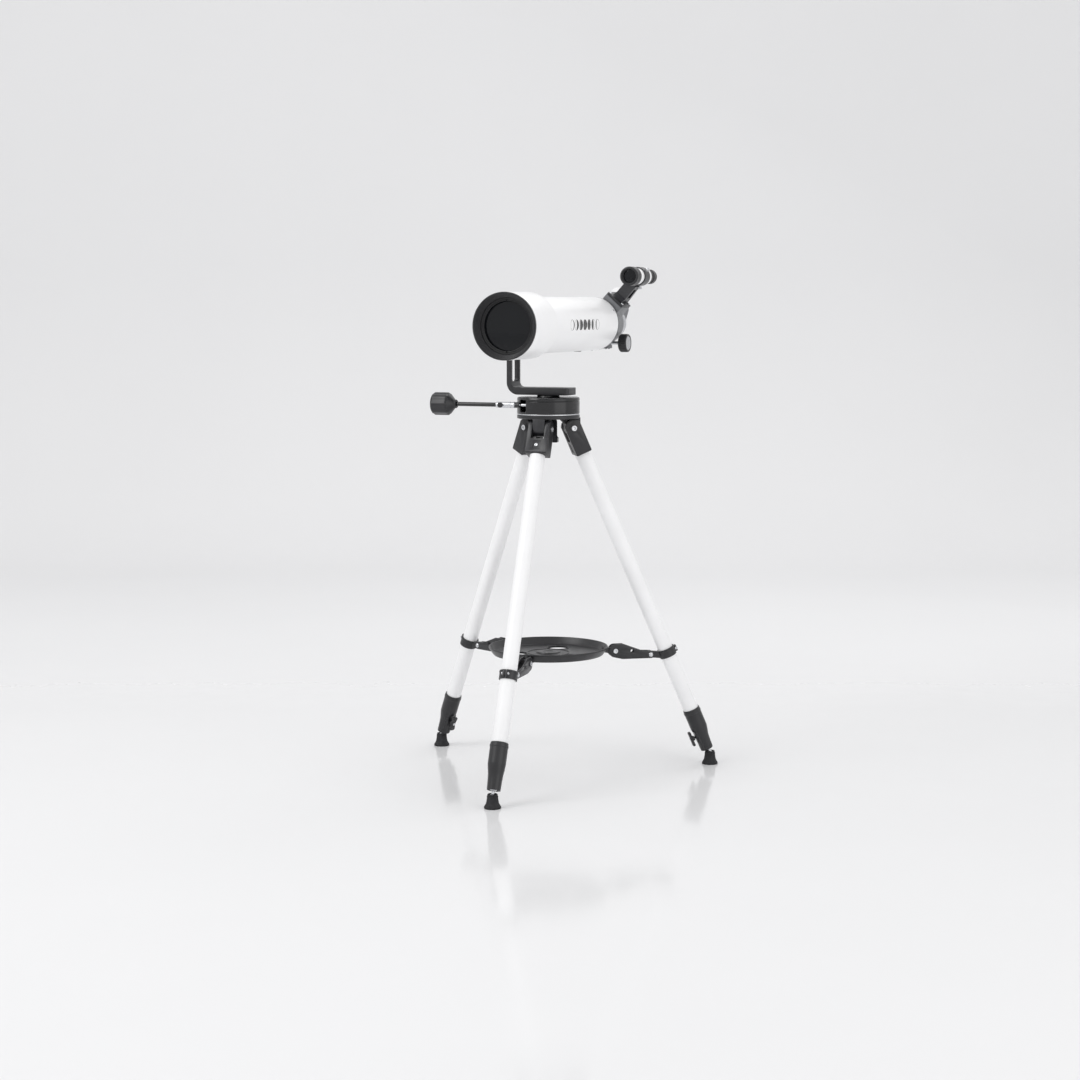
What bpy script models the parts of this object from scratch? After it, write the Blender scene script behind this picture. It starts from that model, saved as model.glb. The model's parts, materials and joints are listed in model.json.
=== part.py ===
"""A small refractor telescope on a white three-legged tripod, as an assembly of separate moving pieces.

Run with: blender --background --python part.py, or from Blender's text editor.
Everything is in metres, +Z up, at real size. The origin is on the floor at the middle of the object's outline.
The tripod, the turning head, the mount bracket, the tube and its fittings each hang from their own empty,
which stands on the axis that the group turns about. The tube looks along -Y.
"""

import math

import bmesh
import bpy
from mathutils import Matrix, Vector

MM = 0.001
GAP = 0.3 * MM  # between two pieces that meet

# ---- tripod ----
LEG_NAMES = ("front", "right", "left")
LEG_TURNS = (0.0, math.radians(120), math.radians(-120))
TRIPOD_TURN = math.radians(3.4)
HINGE_RADIUS = 39.0 * MM
HINGE_HEIGHT = 571.0 * MM
LEG_LEAN = math.radians(23.5)
LEG_TUBE_R = 12.5 * MM
LEG_TUBE_WALL = 1.2 * MM
YOKE_WIDTH = 35.4 * MM
YOKE_CHEEK = 7.0 * MM
YOKE_TOP_R = 14.5 * MM
YOKE_DEPTH = 26.6 * MM
YOKE_END = 45.0 * MM  # along the leg, from the hinge
YOKE_WEB = 20.0 * MM
YOKE_SPIGOT = 25.0 * MM
HINGE_BOLT_R = 2.5 * MM
HINGE_BOLT_HEAD_R = 4.6 * MM
HINGE_BOLT_HEAD = 2.6 * MM
CLAMP_START = 518.0 * MM
CLAMP_LENGTH = 75.0 * MM
CLAMP_WALL = 1.4 * MM
CLAMP_WAIST_R = 10.0 * MM
LEG_TUBE_END = 548.0 * MM
INNER_TUBE_R = 8.0 * MM
INNER_TUBE_WALL = 1.2 * MM
INNER_TUBE_TOP = 130.0 * MM
GUIDE_BUSH = 20.0 * MM
WING_AT = 567.0 * MM
WING_SPAN = 26.0 * MM
WING_STEM_R = 2.2 * MM
BALL_HEIGHT = 18.0 * MM
BALL_R = 5.0 * MM
BALL_STEM_R = 2.5 * MM
FOOT_R = 13.5 * MM
FOOT_TOP_R = 7.8 * MM
FOOT_HEIGHT = 22.5 * MM
FOOT_SWING = math.radians(15)
BALL_AT = (HINGE_HEIGHT - BALL_HEIGHT) / math.cos(LEG_LEAN)

# ---- spreader and tray ----
COLLAR_AT = 411.0 * MM
COLLAR_HEIGHT = 14.5 * MM
COLLAR_WALL = 1.8 * MM
COLLAR_PIN_RADIUS = 174.0 * MM
COLLAR_PIN_HEIGHT = 191.0 * MM
EAR_THICKNESS = 9.2 * MM
EAR_R = 6.0 * MM
ARM_PLATE = 1.6 * MM
ARM_END_R = 11.0 * MM
TRAY_R = 98.5 * MM
TRAY_TOP = 210.8 * MM
TRAY_DEPTH = 11.5 * MM
TRAY_WALL = 2.0 * MM
TRAY_PIN_RADIUS = 113.0 * MM
TRAY_PIN_HEIGHT = 199.0 * MM
TRAY_HOLE_R = 16.8 * MM
TRAY_HOLE_CIRCLE = 53.0 * MM
TRAY_BOSS_R = 20.0 * MM
PIN_R = 2.2 * MM
PIN_HEAD_R = 4.0 * MM
PIN_HEAD = 1.8 * MM

# ---- turning head ----
PLATE_R = 51.2 * MM
PLATE_THICKNESS = 6.0 * MM
PLATE_BOTTOM = 587.0 * MM
PLATE_BOSS_R = 15.0 * MM
PLATE_BOSS = 5.0 * MM
LUG_WIDTH = 20.0 * MM
LUG_R = 12.5 * MM
RING_THICKNESS = 1.8 * MM
RING_INNER_R = 40.0 * MM
HOUSING_HEIGHT = 26.5 * MM
HOUSING_WALL = 3.0 * MM
HOUSING_ROOF = 4.0 * MM
HOUSING_EDGE = 1.8 * MM
HOUSING_BOSS_R = 18.5 * MM
HOUSING_BOSS = 3.1 * MM
SPINDLE_R = 6.0 * MM
SPINDLE_HEAD_R = 10.0 * MM
SPINDLE_HEAD = 2.4 * MM
SPINDLE_COLLAR_R = 9.0 * MM
SPINDLE_COLLAR = 2.0 * MM
SPINDLE_END = 17.0 * MM  # below the plate
WHEEL_TEETH = 60
WHEEL_R = 29.0 * MM  # pitch radius
WHEEL_RIM = 5.0 * MM
WHEEL_HUB_R = 22.0 * MM
WORM_R = 5.0 * MM  # pitch radius
WHEEL_ADDENDUM = 0.7 * MM  # tooth height on each side of the pitch radius
WORM_CREST = 0.4 * MM  # thread height above the pitch radius
WORM_ROOT = 1.0 * MM  # and its depth below
WORM_SHARE = 0.3  # half of the thread's foot, as a share of the pitch
WORM_HALF = 9.5 * MM
WORM_SHAFT_R = 2.9 * MM
WORM_SHAFT_END = 19.0 * MM
WORM_HEIGHT = 609.2 * MM
BEARING_NEAR = 15.0 * MM
BEARING_FAR = 20.0 * MM
WINDOW_NEAR = 20.9 * MM
WINDOW_FAR = 34.3 * MM
WINDOW_HEIGHT = 20.5 * MM
SLEEVE_R = 5.0 * MM
SLEEVE_START = 44.5 * MM
SLEEVE_END = 77.5 * MM
SLEEVE_WEB = 61.0 * MM
SLEEVE_SCREW_AT = 68.0 * MM
SLEEVE_SCREW_R = 4.4 * MM
SLEEVE_SCREW_STEM_R = 1.5 * MM
ROD_R = 3.5 * MM
CONTROL_KNOB_NECK = 148.0 * MM
CONTROL_KNOB_SHOULDER = 161.5 * MM
CONTROL_KNOB_END = 189.7 * MM
CONTROL_KNOB_R = 18.75 * MM
CONTROL_KNOB_NECK_R = 7.0 * MM
ROD_SOCKET = 18.0 * MM
LEVER_NUT_R = 9.0 * MM
LEVER_NUT = 14.0 * MM
LEVER_NEAR = 7.0 * MM
LEVER_FAR = 14.0 * MM
LEVER_TIP = 17.0 * MM
LEVER_DROP = 38.0 * MM
LEVER_WIDTH = 8.0 * MM

# ---- mount bracket ----
BRACKET_WIDTH = 40.0 * MM
BRACKET_ARM = 11.8 * MM
BRACKET_RIGHT = 42.0 * MM
BRACKET_UPRIGHT = 8.0 * MM
BRACKET_LEFT = 65.4 * MM
BRACKET_OUTER_R = 20.0 * MM
BRACKET_INNER_R = 8.0 * MM
BRACKET_TOP_R = 20.0 * MM
BRACKET_SLOT_WIDTH = 28.5 * MM
BRACKET_SLOT_FOOT = 21.0 * MM  # slot's lower end above the bracket's underside
BRACKET_SLOT_HEIGHT = 67.0 * MM
BRACKET_SCREW_CIRCLE = 14.3 * MM
BRACKET_SCREW_R = 2.0 * MM
STUD_PLATE = 2.0 * MM
BRACKET_SCREW_DEPTH = 8.0 * MM
PIVOT_HEIGHT = 738.6 * MM
PIVOT_BOLT_R = 4.0 * MM
SADDLE_LENGTH = 76.0 * MM
SADDLE_HEIGHT = 34.0 * MM
SADDLE_REACH = 12.0 * MM  # how far the saddle wraps in front of its own face
SADDLE_BOSS_R = 15.0 * MM
ALT_KNOB_R = 17.0 * MM
ALT_KNOB_LENGTH = 16.0 * MM
ALT_KNOB_LOBES = 6

# ---- optical tube, along Y, measured from the pivot ----
TUBE_R = 45.3 * MM
TUBE_WALL = 1.3 * MM
TUBE_FRONT = -159.7 * MM
TUBE_REAR = 212.5 * MM
SHIELD_R = 53.0 * MM
SHIELD_WALL = 1.4 * MM
SHIELD_REAR = -94.7 * MM
SHIELD_END_WALL = 2.4 * MM
RIM_DEPTH = 20.7 * MM  # mouth in front of the cell
RIM_BAND = 4.1 * MM
RIM_MOUTH_R = 52.0 * MM
RIM_THROAT_R = 44.6 * MM
RIM_THROAT_DEPTH = 6.9 * MM  # and its throat
CELL_FLANGE = 9.7 * MM
CELL_SPIGOT = 10.0 * MM
CELL_SEAT_R = 36.5 * MM
CELL_SEAT = 5.0 * MM
LENS_R = 39.9 * MM
LENS_PROUD = 2.5 * MM  # crown lens rim, in front of the cell
LENS_BULGE = 3.0 * MM
CROWN_THICKNESS = 7.2 * MM
LENS_SHOW_R = 38.9 * MM
LENS_RING_THICKNESS = 3.8 * MM

# ---- focuser ----
FOCUSER_PLUG = 17.0 * MM
FOCUSER_FLANGE = 5.0 * MM
FOCUSER_END = 266.0 * MM
FOCUSER_END_R = 36.8 * MM
DRAWTUBE_R = 25.0 * MM
DRAWTUBE_WALL = 1.6 * MM
DRAWTUBE_FRONT = 200.0 * MM
DRAWTUBE_COLLAR = 290.0 * MM
DRAWTUBE_END = 307.0 * MM
DRAWTUBE_COLLAR_R = 27.4 * MM
RACK_WIDTH = 8.0 * MM
PINION_TEETH = 15
PINION_R = 6.0 * MM  # pitch radius
GEAR_ADDENDUM = 0.6 * MM
GEAR_DEDENDUM = 0.9 * MM
RACK_SHARE = 0.6  # a rack tooth's foot, as a share of the pitch
PINION_HALF = 4.5 * MM
FOCUS_AT = 251.0 * MM
FOCUS_DROP = 33.6 * MM
FOCUS_SHAFT_R = 3.0 * MM
FOCUS_BLOCK_HALF = 17.0 * MM
FOCUS_BLOCK_BOTTOM = 43.0 * MM
FOCUS_BLOCK_LENGTH = 24.0 * MM
FOCUS_KNOB_NEAR = 35.8 * MM
FOCUS_KNOB_FAR = 51.0 * MM
FOCUS_KNOB_R = 15.6 * MM
LOCK_SCREW_AT = 257.0 * MM
LOCK_SCREW_R = 2.0 * MM
LOCK_SCREW_HEAD_R = 6.0 * MM
LOCK_SCREW_HEAD = 7.0 * MM

# ---- diagonal and eyepiece ----
BEND_AT = 297.0 * MM
NOSE_R = 15.9 * MM
NOSE_FRONT = 292.0 * MM
DIAGONAL_HALF = 19.0 * MM
DIAGONAL_DEPTH = 17.0 * MM  # half depth of the tilted part
DIAGONAL_REACH = 49.5 * MM
LIGHT_R = 10.5 * MM
PRISM_HALF = 13.0 * MM
EYEPIECE_BARREL_R = 12.2 * MM
EYEPIECE_BARREL = 17.0 * MM
EYEPIECE_R = 15.0 * MM
EYEPIECE_TOP = 75.0 * MM
EYEPIECE_CUP_R = 9.0 * MM
EYEPIECE_CUP = 4.0 * MM

# ---- finder ----
FINDER_X = 72.0 * MM
FINDER_Z = 80.5 * MM
FINDER_R = 14.0 * MM
FINDER_FRONT = 190.0 * MM
FINDER_BAND = 211.0 * MM
FINDER_BAND_R = 16.3 * MM
FINDER_REAR = 270.0 * MM
FINDER_EYE_END = 304.0 * MM
FINDER_EYE_R = 12.5 * MM
FINDER_RECESS = 3.0 * MM
FINDER_RING_FRONT = 231.0 * MM
FINDER_RING_REAR = 255.0 * MM
FINDER_RING_WALL = 1.8 * MM
SHOE_FRONT = 218.5 * MM
SHOE_REAR = 262.0 * MM
SHOE_HALF = 18.0 * MM
SHOE_TOP = 52.5 * MM
STALK_BASE = 4.0 * MM
STALK_HALF = 10.0 * MM
STALK_FRONT = 234.0 * MM
STALK_REAR = 260.0 * MM

# ---- places worked out from the sizes ----
FOOT_CIRCLE = HINGE_RADIUS + BALL_AT * math.sin(LEG_LEAN)
LEFT_REACH = FOOT_CIRCLE * math.sin(LEG_TURNS[1] - TRIPOD_TURN)
RIGHT_REACH = FOOT_CIRCLE * math.sin(LEG_TURNS[1] + TRIPOD_TURN)
CLAMP_R = LEG_TUBE_R + GAP + CLAMP_WALL
CELL_FRONT = TUBE_FRONT - GAP - CELL_FLANGE
LENS_FRONT = CELL_FRONT - LENS_PROUD
RIM_THROAT = CELL_FRONT - RIM_THROAT_DEPTH
RIM_FRONT = CELL_FRONT - RIM_DEPTH
FRONT_REACH = FOOT_CIRCLE * math.cos(TRIPOD_TURN) + FOOT_R
REAR_REACH = BEND_AT + (EYEPIECE_TOP + EYEPIECE_R) * math.cos(math.pi / 4)
PAN_X = (LEFT_REACH - RIGHT_REACH) / 2
PAN_Y = (FRONT_REACH - REAR_REACH) / 2
PLATE_TOP = PLATE_BOTTOM + PLATE_THICKNESS
RING_BOTTOM = PLATE_TOP + GAP
HOUSING_BOTTOM = RING_BOTTOM + RING_THICKNESS + GAP
HOUSING_TOP = HOUSING_BOTTOM + HOUSING_HEIGHT
BOSS_TOP = HOUSING_TOP + HOUSING_BOSS
BRACKET_BOTTOM = BOSS_TOP + GAP
WHEEL_TOP = WORM_HEIGHT + WHEEL_RIM / 2 + 1.3 * MM
WORM_Y = -(WHEEL_R + WORM_R)
WORM_PITCH = 2 * math.pi * WHEEL_R / WHEEL_TEETH
RACK_PITCH = 2 * math.pi * PINION_R / PINION_TEETH

# An outline's two axes and its thickness lie along Y, Z and X for SIDEWAYS, and along X, Z and Y for UPRIGHT.
SIDEWAYS = Matrix(((0, 0, 1, 0), (1, 0, 0, 0), (0, 1, 0, 0), (0, 0, 0, 1)))
UPRIGHT = Matrix.Rotation(math.pi / 2, 4, "X")
ALONG_X = Matrix.Rotation(math.pi / 2, 4, "Y")
ALONG_Y = Matrix.Rotation(-math.pi / 2, 4, "X")

WHITE = ("white_enamel", (0.86, 0.86, 0.87), 0.25, 0.0)
BLACK = ("black_plastic", (0.03, 0.03, 0.032), 0.45, 0.0)
GREY = ("grey_casting", (0.35, 0.35, 0.36), 0.45, 0.4)
SILVER = ("bright_steel", (0.75, 0.75, 0.76), 0.22, 1.0)
ALUMINIUM = ("satin_aluminium", (0.72, 0.72, 0.73), 0.35, 1.0)
BRASS = ("brass", (0.78, 0.6, 0.3), 0.35, 1.0)
RUBBER = ("black_rubber", (0.025, 0.025, 0.025), 0.8, 0.0)
BLACKENED = ("blackened_metal", (0.012, 0.012, 0.012), 0.7, 0.0)
GLASS = ("coated_glass", (0.25, 0.3, 0.33), 0.05, 0.0)


# ---------------------------------------------------------------- tools

def collection(name, hidden=False):
    """A collection of the scene, made on first use."""
    found = bpy.data.collections.get(name)
    if found is None:
        found = bpy.data.collections.new(name)
        bpy.context.scene.collection.children.link(found)
        found.hide_render = hidden
    return found


def finish(name, base_color, roughness, metallic):
    """A Principled material, made on first use."""
    found = bpy.data.materials.get(name)
    if found:
        return found
    made = bpy.data.materials.new(name)
    made.use_nodes = True
    shader = made.node_tree.nodes["Principled BSDF"]
    shader.inputs["Base Color"].default_value = (*base_color, 1.0)
    shader.inputs["Roughness"].default_value = roughness
    shader.inputs["Metallic"].default_value = metallic
    return made


def place(name, data, parent, at, look=None):
    """Links an object under its parent empty. One without a look is a guide for cutting and joining."""
    made = bpy.data.objects.new(name, data)
    group = collection("telescope_on_tripod") if look or data is None else collection("cutters",
        hidden=True)
    group.objects.link(made)
    made.parent = parent
    made.matrix_basis = at
    if look:
        data.materials.clear()
        data.materials.append(finish(*look))
    elif data is not None:
        made.hide_render = True
        made.display_type = "WIRE"
    return made


def empty(name, parent, at):
    return place(name, None, parent, at)


def smooth(mesh, angle=35):
    mesh.shade_smooth()
    mesh.set_sharp_from_angle(angle=math.radians(angle))


def turned(name, profile, parent, look=None, at=Matrix.Identity(4), steps=24):
    """A turned shape: (radius, height) points that run down the outer side, round the object's own Z.

    A profile that starts and ends on the axis is solid, any other is closed into a ring.
    """
    mesh = bpy.data.meshes.new(name)
    points = [(radius, 0, height) for radius, height in profile]
    edges = [(i, i + 1) for i in range(len(points) - 1)]
    if profile[0][0] > 0:
        edges.append((len(points) - 1, 0))
    mesh.from_pydata(points, edges, [])
    made = place(name, mesh, parent, at, look)
    screw = made.modifiers.new("turn", "SCREW")
    screw.steps = screw.render_steps = steps
    screw.use_merge_vertices = True
    screw.merge_threshold = 0.00001
    return made


def cylinder(name, radius, start, end, parent, look=None, at=Matrix.Identity(4), segments=24):
    """A plain cylinder along the object's own Z."""
    mesh = bpy.data.meshes.new(name)
    shape = bmesh.new()
    bmesh.ops.create_cone(
        shape, cap_ends=True, segments=segments, radius1=radius, radius2=radius, depth=end - start,
        matrix=Matrix.Translation((0, 0, (start + end) / 2)),
    )
    shape.to_mesh(mesh)
    shape.free()
    smooth(mesh)
    return place(name, mesh, parent, at, look)


def box(name, low, high, parent, look=None, at=Matrix.Identity(4)):
    """A box between two corners."""
    low, high = Vector(low), Vector(high)
    mesh = bpy.data.meshes.new(name)
    shape = bmesh.new()
    scale = Matrix.Diagonal((*(high - low), 1))
    bmesh.ops.create_cube(shape, size=1, matrix=Matrix.Translation((low + high) / 2) @ scale)
    shape.to_mesh(mesh)
    shape.free()
    return place(name, mesh, parent, at, look)


def flat(name, outline, thickness, parent, look=None, at=Matrix.Identity(4)):
    """A flat outline given thickness on both sides of its plane, with one face on each side."""
    twice_area = sum(a[0] * b[1] - b[0] * a[1] for a, b in zip(outline, outline[1:] + outline[:1]))
    points = list(outline) if twice_area > 0 else list(reversed(outline))
    shape = bmesh.new()
    below = [shape.verts.new((x, y, -thickness / 2)) for x, y in points]
    above = [shape.verts.new((x, y, thickness / 2)) for x, y in points]
    shape.faces.new(list(reversed(below)))
    shape.faces.new(above)
    for i in range(len(points)):
        after = (i + 1) % len(points)
        shape.faces.new((below[i], below[after], above[after], above[i]))
    mesh = bpy.data.meshes.new(name)
    shape.to_mesh(mesh)
    shape.free()
    smooth(mesh)
    return place(name, mesh, parent, at, look)


def combine(target, operation, tools):
    for tool in tools:
        step = target.modifiers.new(tool.name, "BOOLEAN")
        step.operation = operation
        step.solver = "EXACT"
        step.object = tool


def join(target, *tools):
    combine(target, "UNION", tools)


def cut(target, *tools):
    combine(target, "DIFFERENCE", tools)


def arc(x, y, radius, start, end, count):
    """Points of an arc, angles in degrees."""
    angles = [math.radians(start + (end - start) * i / (count - 1)) for i in range(count)]
    return [(x + radius * math.cos(a), y + radius * math.sin(a)) for a in angles]


def gear_outline(teeth, pitch_r, addendum, dedendum):
    """A gear's outline with pointed teeth, one of them centred at angle zero."""
    points = []
    for half_tooth in range(2 * teeth):
        angle = math.pi * half_tooth / teeth
        radius = pitch_r - dedendum if half_tooth % 2 else pitch_r + addendum
        points.append((radius * math.cos(angle), radius * math.sin(angle)))
    return points


def bolt(name, length, shank_r, head_r, head, parent, at):
    """A pin with a head at both ends, centred on its own origin. The length is between the heads."""
    half = length / 2
    profile = [
        (0, half + head), (head_r * 0.8, half + head), (head_r, half), (shank_r, half),
        (shank_r, -half), (head_r, -half), (head_r * 0.8, -half - head), (0, -half - head),
    ]
    return turned(name, profile, parent, at=at, steps=10)


# ---------------------------------------------------------------- tripod

def tripod_head(tripod):
    """The plate under the turning head, with three lugs and a hinge bolt pressed into each."""
    profile = [
        (0, PLATE_TOP + PLATE_BOSS), (PLATE_BOSS_R, PLATE_TOP + PLATE_BOSS), (PLATE_BOSS_R, PLATE_TOP),
        (PLATE_R - 0.8 * MM, PLATE_TOP), (PLATE_R, PLATE_TOP - 0.8 * MM), (PLATE_R, PLATE_BOTTOM),
        (0, PLATE_BOTTOM),
    ]
    plate = turned("tripod_head", profile, tripod, BLACK, steps=32)
    sunk = PLATE_BOTTOM - HINGE_HEIGHT + 1 * MM
    outline = [(LUG_R, sunk)] + [(LUG_R, 0)] + arc(0, 0, LUG_R, 0, -180, 9)[1:-1] + [(-LUG_R, 0),
        (-LUG_R, sunk)]
    for name, turn in zip(LEG_NAMES, LEG_TURNS):
        at = Matrix.Rotation(turn, 4, "Z") @ Matrix.Translation((0, -HINGE_RADIUS, HINGE_HEIGHT))
        join(plate, flat(name + "_lug", outline, LUG_WIDTH, tripod, at=at @ SIDEWAYS))
        length = YOKE_WIDTH + 2 * GAP
        join(plate, bolt(name + "_hinge_bolt", length, HINGE_BOLT_R, HINGE_BOLT_HEAD_R, HINGE_BOLT_HEAD,
            tripod, at @ ALONG_X))
    cut(plate, cylinder("plate_bore", SPINDLE_R + GAP, 0.5, 0.65, tripod, segments=20))


def leg_yoke(name, leg):
    half = YOKE_DEPTH / 2
    outline = [(half, -YOKE_END + 1.5 * MM), (half, 0)] + arc(0, 0, YOKE_TOP_R, 24, 156, 7)
    outline += [(-half, 0), (-half, -YOKE_END + 1.5 * MM), (-half + 1.5 * MM, -YOKE_END),
        (half - 1.5 * MM, -YOKE_END)]
    yoke = flat(name + "_leg_yoke", outline, YOKE_WIDTH, leg, BLACK, SIDEWAYS)
    gap_half = YOKE_WIDTH / 2 - YOKE_CHEEK
    cut(yoke, box(name + "_yoke_gap", (-gap_half, -0.03, -YOKE_WEB), (gap_half, 0.03, 0.03), leg))
    spigot = LEG_TUBE_R - LEG_TUBE_WALL - GAP
    join(yoke, cylinder(name + "_yoke_spigot", spigot, -YOKE_END - YOKE_SPIGOT, -YOKE_END + 2 * MM, leg,
        segments=16))
    cut(yoke, cylinder(name + "_yoke_hole", HINGE_BOLT_R + GAP, -0.03, 0.03, leg, at=ALONG_X, segments=8))


def upper_leg(name, leg):
    inner = LEG_TUBE_R - LEG_TUBE_WALL
    top = -YOKE_END - GAP
    profile = [(inner, top), (LEG_TUBE_R, top), (LEG_TUBE_R, -LEG_TUBE_END), (inner, -LEG_TUBE_END)]
    turned(name + "_upper_leg", profile, leg, WHITE, steps=20)


def leg_clamp(name, leg):
    top = -CLAMP_START
    bottom = top - CLAMP_LENGTH
    waist = top - CLAMP_LENGTH * 0.62
    profile = [
        (LEG_TUBE_R + GAP, top), (CLAMP_R - 0.8 * MM, top), (CLAMP_R, top - 0.8 * MM),
        (CLAMP_R, top - CLAMP_LENGTH * 0.46), (CLAMP_WAIST_R + 1.2 * MM, waist),
        (CLAMP_WAIST_R, bottom + 3 * MM), (CLAMP_WAIST_R - 1 * MM, bottom), (INNER_TUBE_R + GAP, bottom),
        (INNER_TUBE_R + GAP, -LEG_TUBE_END - GAP), (LEG_TUBE_R + GAP, -LEG_TUBE_END - GAP),
    ]
    clamp = turned(name + "_leg_clamp", profile, leg, BLACK, steps=16)
    pad = box(
        name + "_clamp_pad", (-6 * MM, CLAMP_WAIST_R - 1 * MM, bottom + 4 * MM),
        (6 * MM, CLAMP_R - 0.6 * MM, waist + 12 * MM), leg,
    )
    join(clamp, pad)
    at = Matrix.Translation((0, 0, -WING_AT)) @ ALONG_Y
    cut(clamp, cylinder(name + "_clamp_hole", WING_STEM_R + GAP, 2 * MM, 25 * MM, leg, at=at, segments=8))


def clamp_screw(name, leg):
    """A butterfly-headed screw that presses on the inner tube, on the side that faces the other legs."""
    at = Matrix.Translation((0, 0, -WING_AT)) @ ALONG_Y
    stem = turned(
        name + "_clamp_screw",
        [(0, 19 * MM), (3.6 * MM, 19 * MM), (4.4 * MM, 17 * MM), (4.4 * MM, CLAMP_R + GAP),
         (WING_STEM_R, CLAMP_R + GAP), (WING_STEM_R, INNER_TUBE_R + GAP), (0, INNER_TUBE_R + GAP)],
        leg, BLACK, at, steps=12,
    )
    half = WING_SPAN / 2
    wing = []
    for side in (1, -1):
        wing += [(side * x * MM, side * y * MM) for x,
            y in ((3, -4), (9, -5), (12.2, -4), (13, 0), (12.2, 4), (9, 5), (3, 4))]
    scale = half / (13 * MM)
    wing = [(x * scale, y) for x, y in wing]
    turn = Matrix.Translation((0, 19.5 * MM, -WING_AT)) @ Matrix.Rotation(math.pi / 2, 4,
        "X") @ Matrix.Rotation(math.pi / 2, 4, "Z")
    join(stem, flat(name + "_wing", wing, 4.6 * MM, leg, at=turn))


def lower_leg(name, leg):
    inner = INNER_TUBE_R - INNER_TUBE_WALL
    bush_r = LEG_TUBE_R - LEG_TUBE_WALL - GAP
    top = -INNER_TUBE_TOP
    ball = -BALL_AT
    stem_end = ball + math.sqrt(BALL_R**2 - BALL_STEM_R**2)
    profile = [
        (0, ball + 22 * MM), (inner, ball + 22 * MM), (inner, top), (bush_r, top),
        (bush_r, top - GUIDE_BUSH),
        (INNER_TUBE_R, top - GUIDE_BUSH), (INNER_TUBE_R, ball + 10.5 * MM),
        (INNER_TUBE_R - 2 * MM, ball + 8.5 * MM),
        (BALL_STEM_R, ball + 8.5 * MM), (BALL_STEM_R, stem_end),
    ]
    start = math.degrees(math.acos(BALL_STEM_R / BALL_R))
    profile += [(r, ball + h) for r, h in arc(0, 0, BALL_R, start, -90, 5)[1:-1]]
    profile.append((0, ball - BALL_R))
    turned(name + "_lower_leg", profile, leg, ALUMINIUM, steps=14)


def foot(name, ankle):
    """A rubber bell that grips the ball, with a slot in its top for the leg's swing."""
    profile = [
        (0, FOOT_HEIGHT), (FOOT_TOP_R - 1 * MM, FOOT_HEIGHT), (FOOT_TOP_R, FOOT_HEIGHT - 1 * MM),
        (FOOT_TOP_R + 0.6 * MM, FOOT_HEIGHT * 0.62), (FOOT_R - 3.4 * MM, FOOT_HEIGHT * 0.36),
        (FOOT_R - 0.8 * MM, 3.6 * MM), (FOOT_R, 2.6 * MM), (FOOT_R, 0), (0, 0),
    ]
    bell = turned(name + "_foot", profile, ankle, RUBBER, Matrix.Translation((0, 0, -BALL_HEIGHT)),
        steps=14)
    socket = bpy.data.meshes.new(name + "_socket")
    shape = bmesh.new()
    bmesh.ops.create_uvsphere(shape, u_segments=10, v_segments=6, radius=BALL_R + 0.5 * MM)
    shape.to_mesh(socket)
    shape.free()
    cut(bell, place(name + "_socket", socket, ankle, Matrix.Identity(4)))
    reach = 12 * MM
    slot_half = BALL_STEM_R + 0.5 * MM
    low, high = LEG_LEAN - FOOT_SWING, LEG_LEAN + FOOT_SWING
    wedge = wedge_outline(low, high, slot_half, reach)
    cut(bell, flat(name + "_stem_slot", wedge, 2 * slot_half, ankle, at=SIDEWAYS))


def wedge_outline(low, high, half, reach):
    """The sector that a stem of the given half width sweeps about the origin, leaning towards +X from +Y."""
    def along(lean, distance, side):
        return (distance * math.sin(lean) + side * math.cos(lean),
            distance * math.cos(lean) - side * math.sin(lean))
    return [along(high, 0, half), along(high, reach, half), along(low, reach, -half), along(low, 0, -half)]


# ---------------------------------------------------------------- spreader and tray

def spreader_collar(name, leg):
    """A band round the leg with an ear that reaches level towards the tray."""
    inner = LEG_TUBE_R + GAP
    outer = inner + COLLAR_WALL
    top = -COLLAR_AT + COLLAR_HEIGHT / 2
    bottom = top - COLLAR_HEIGHT
    profile = [
        (inner, top), (outer, top), (outer, bottom), (inner, bottom),
    ]
    collar = turned(name + "_spreader_collar", profile, leg, BLACK, steps=20)
    pin = leg_point(COLLAR_PIN_RADIUS, COLLAR_PIN_HEIGHT)
    root_z = -COLLAR_AT
    root_y = inner + 0.5 * MM
    outline = [(root_y, root_z + EAR_R), (root_y, root_z - EAR_R)]
    outline += arc(pin[0], pin[1], EAR_R, -100, 100, 7)
    ear = flat(name + "_collar_ear", outline, EAR_THICKNESS, leg, at=SIDEWAYS)
    join(collar, ear)
    cut(collar, cylinder(name + "_collar_bore", inner, bottom - 10 * MM, top + 10 * MM, leg, segments=20))


def leg_point(radius, height):
    """A point in the leg's own frame, as (towards the pan axis, along the leg), from its radius and height."""
    out = radius - HINGE_RADIUS
    up = height - HINGE_HEIGHT
    inward = -out * math.cos(LEG_LEAN) - up * math.sin(LEG_LEAN)
    along = -out * math.sin(LEG_LEAN) + up * math.cos(LEG_LEAN)
    return inward, along


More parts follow.
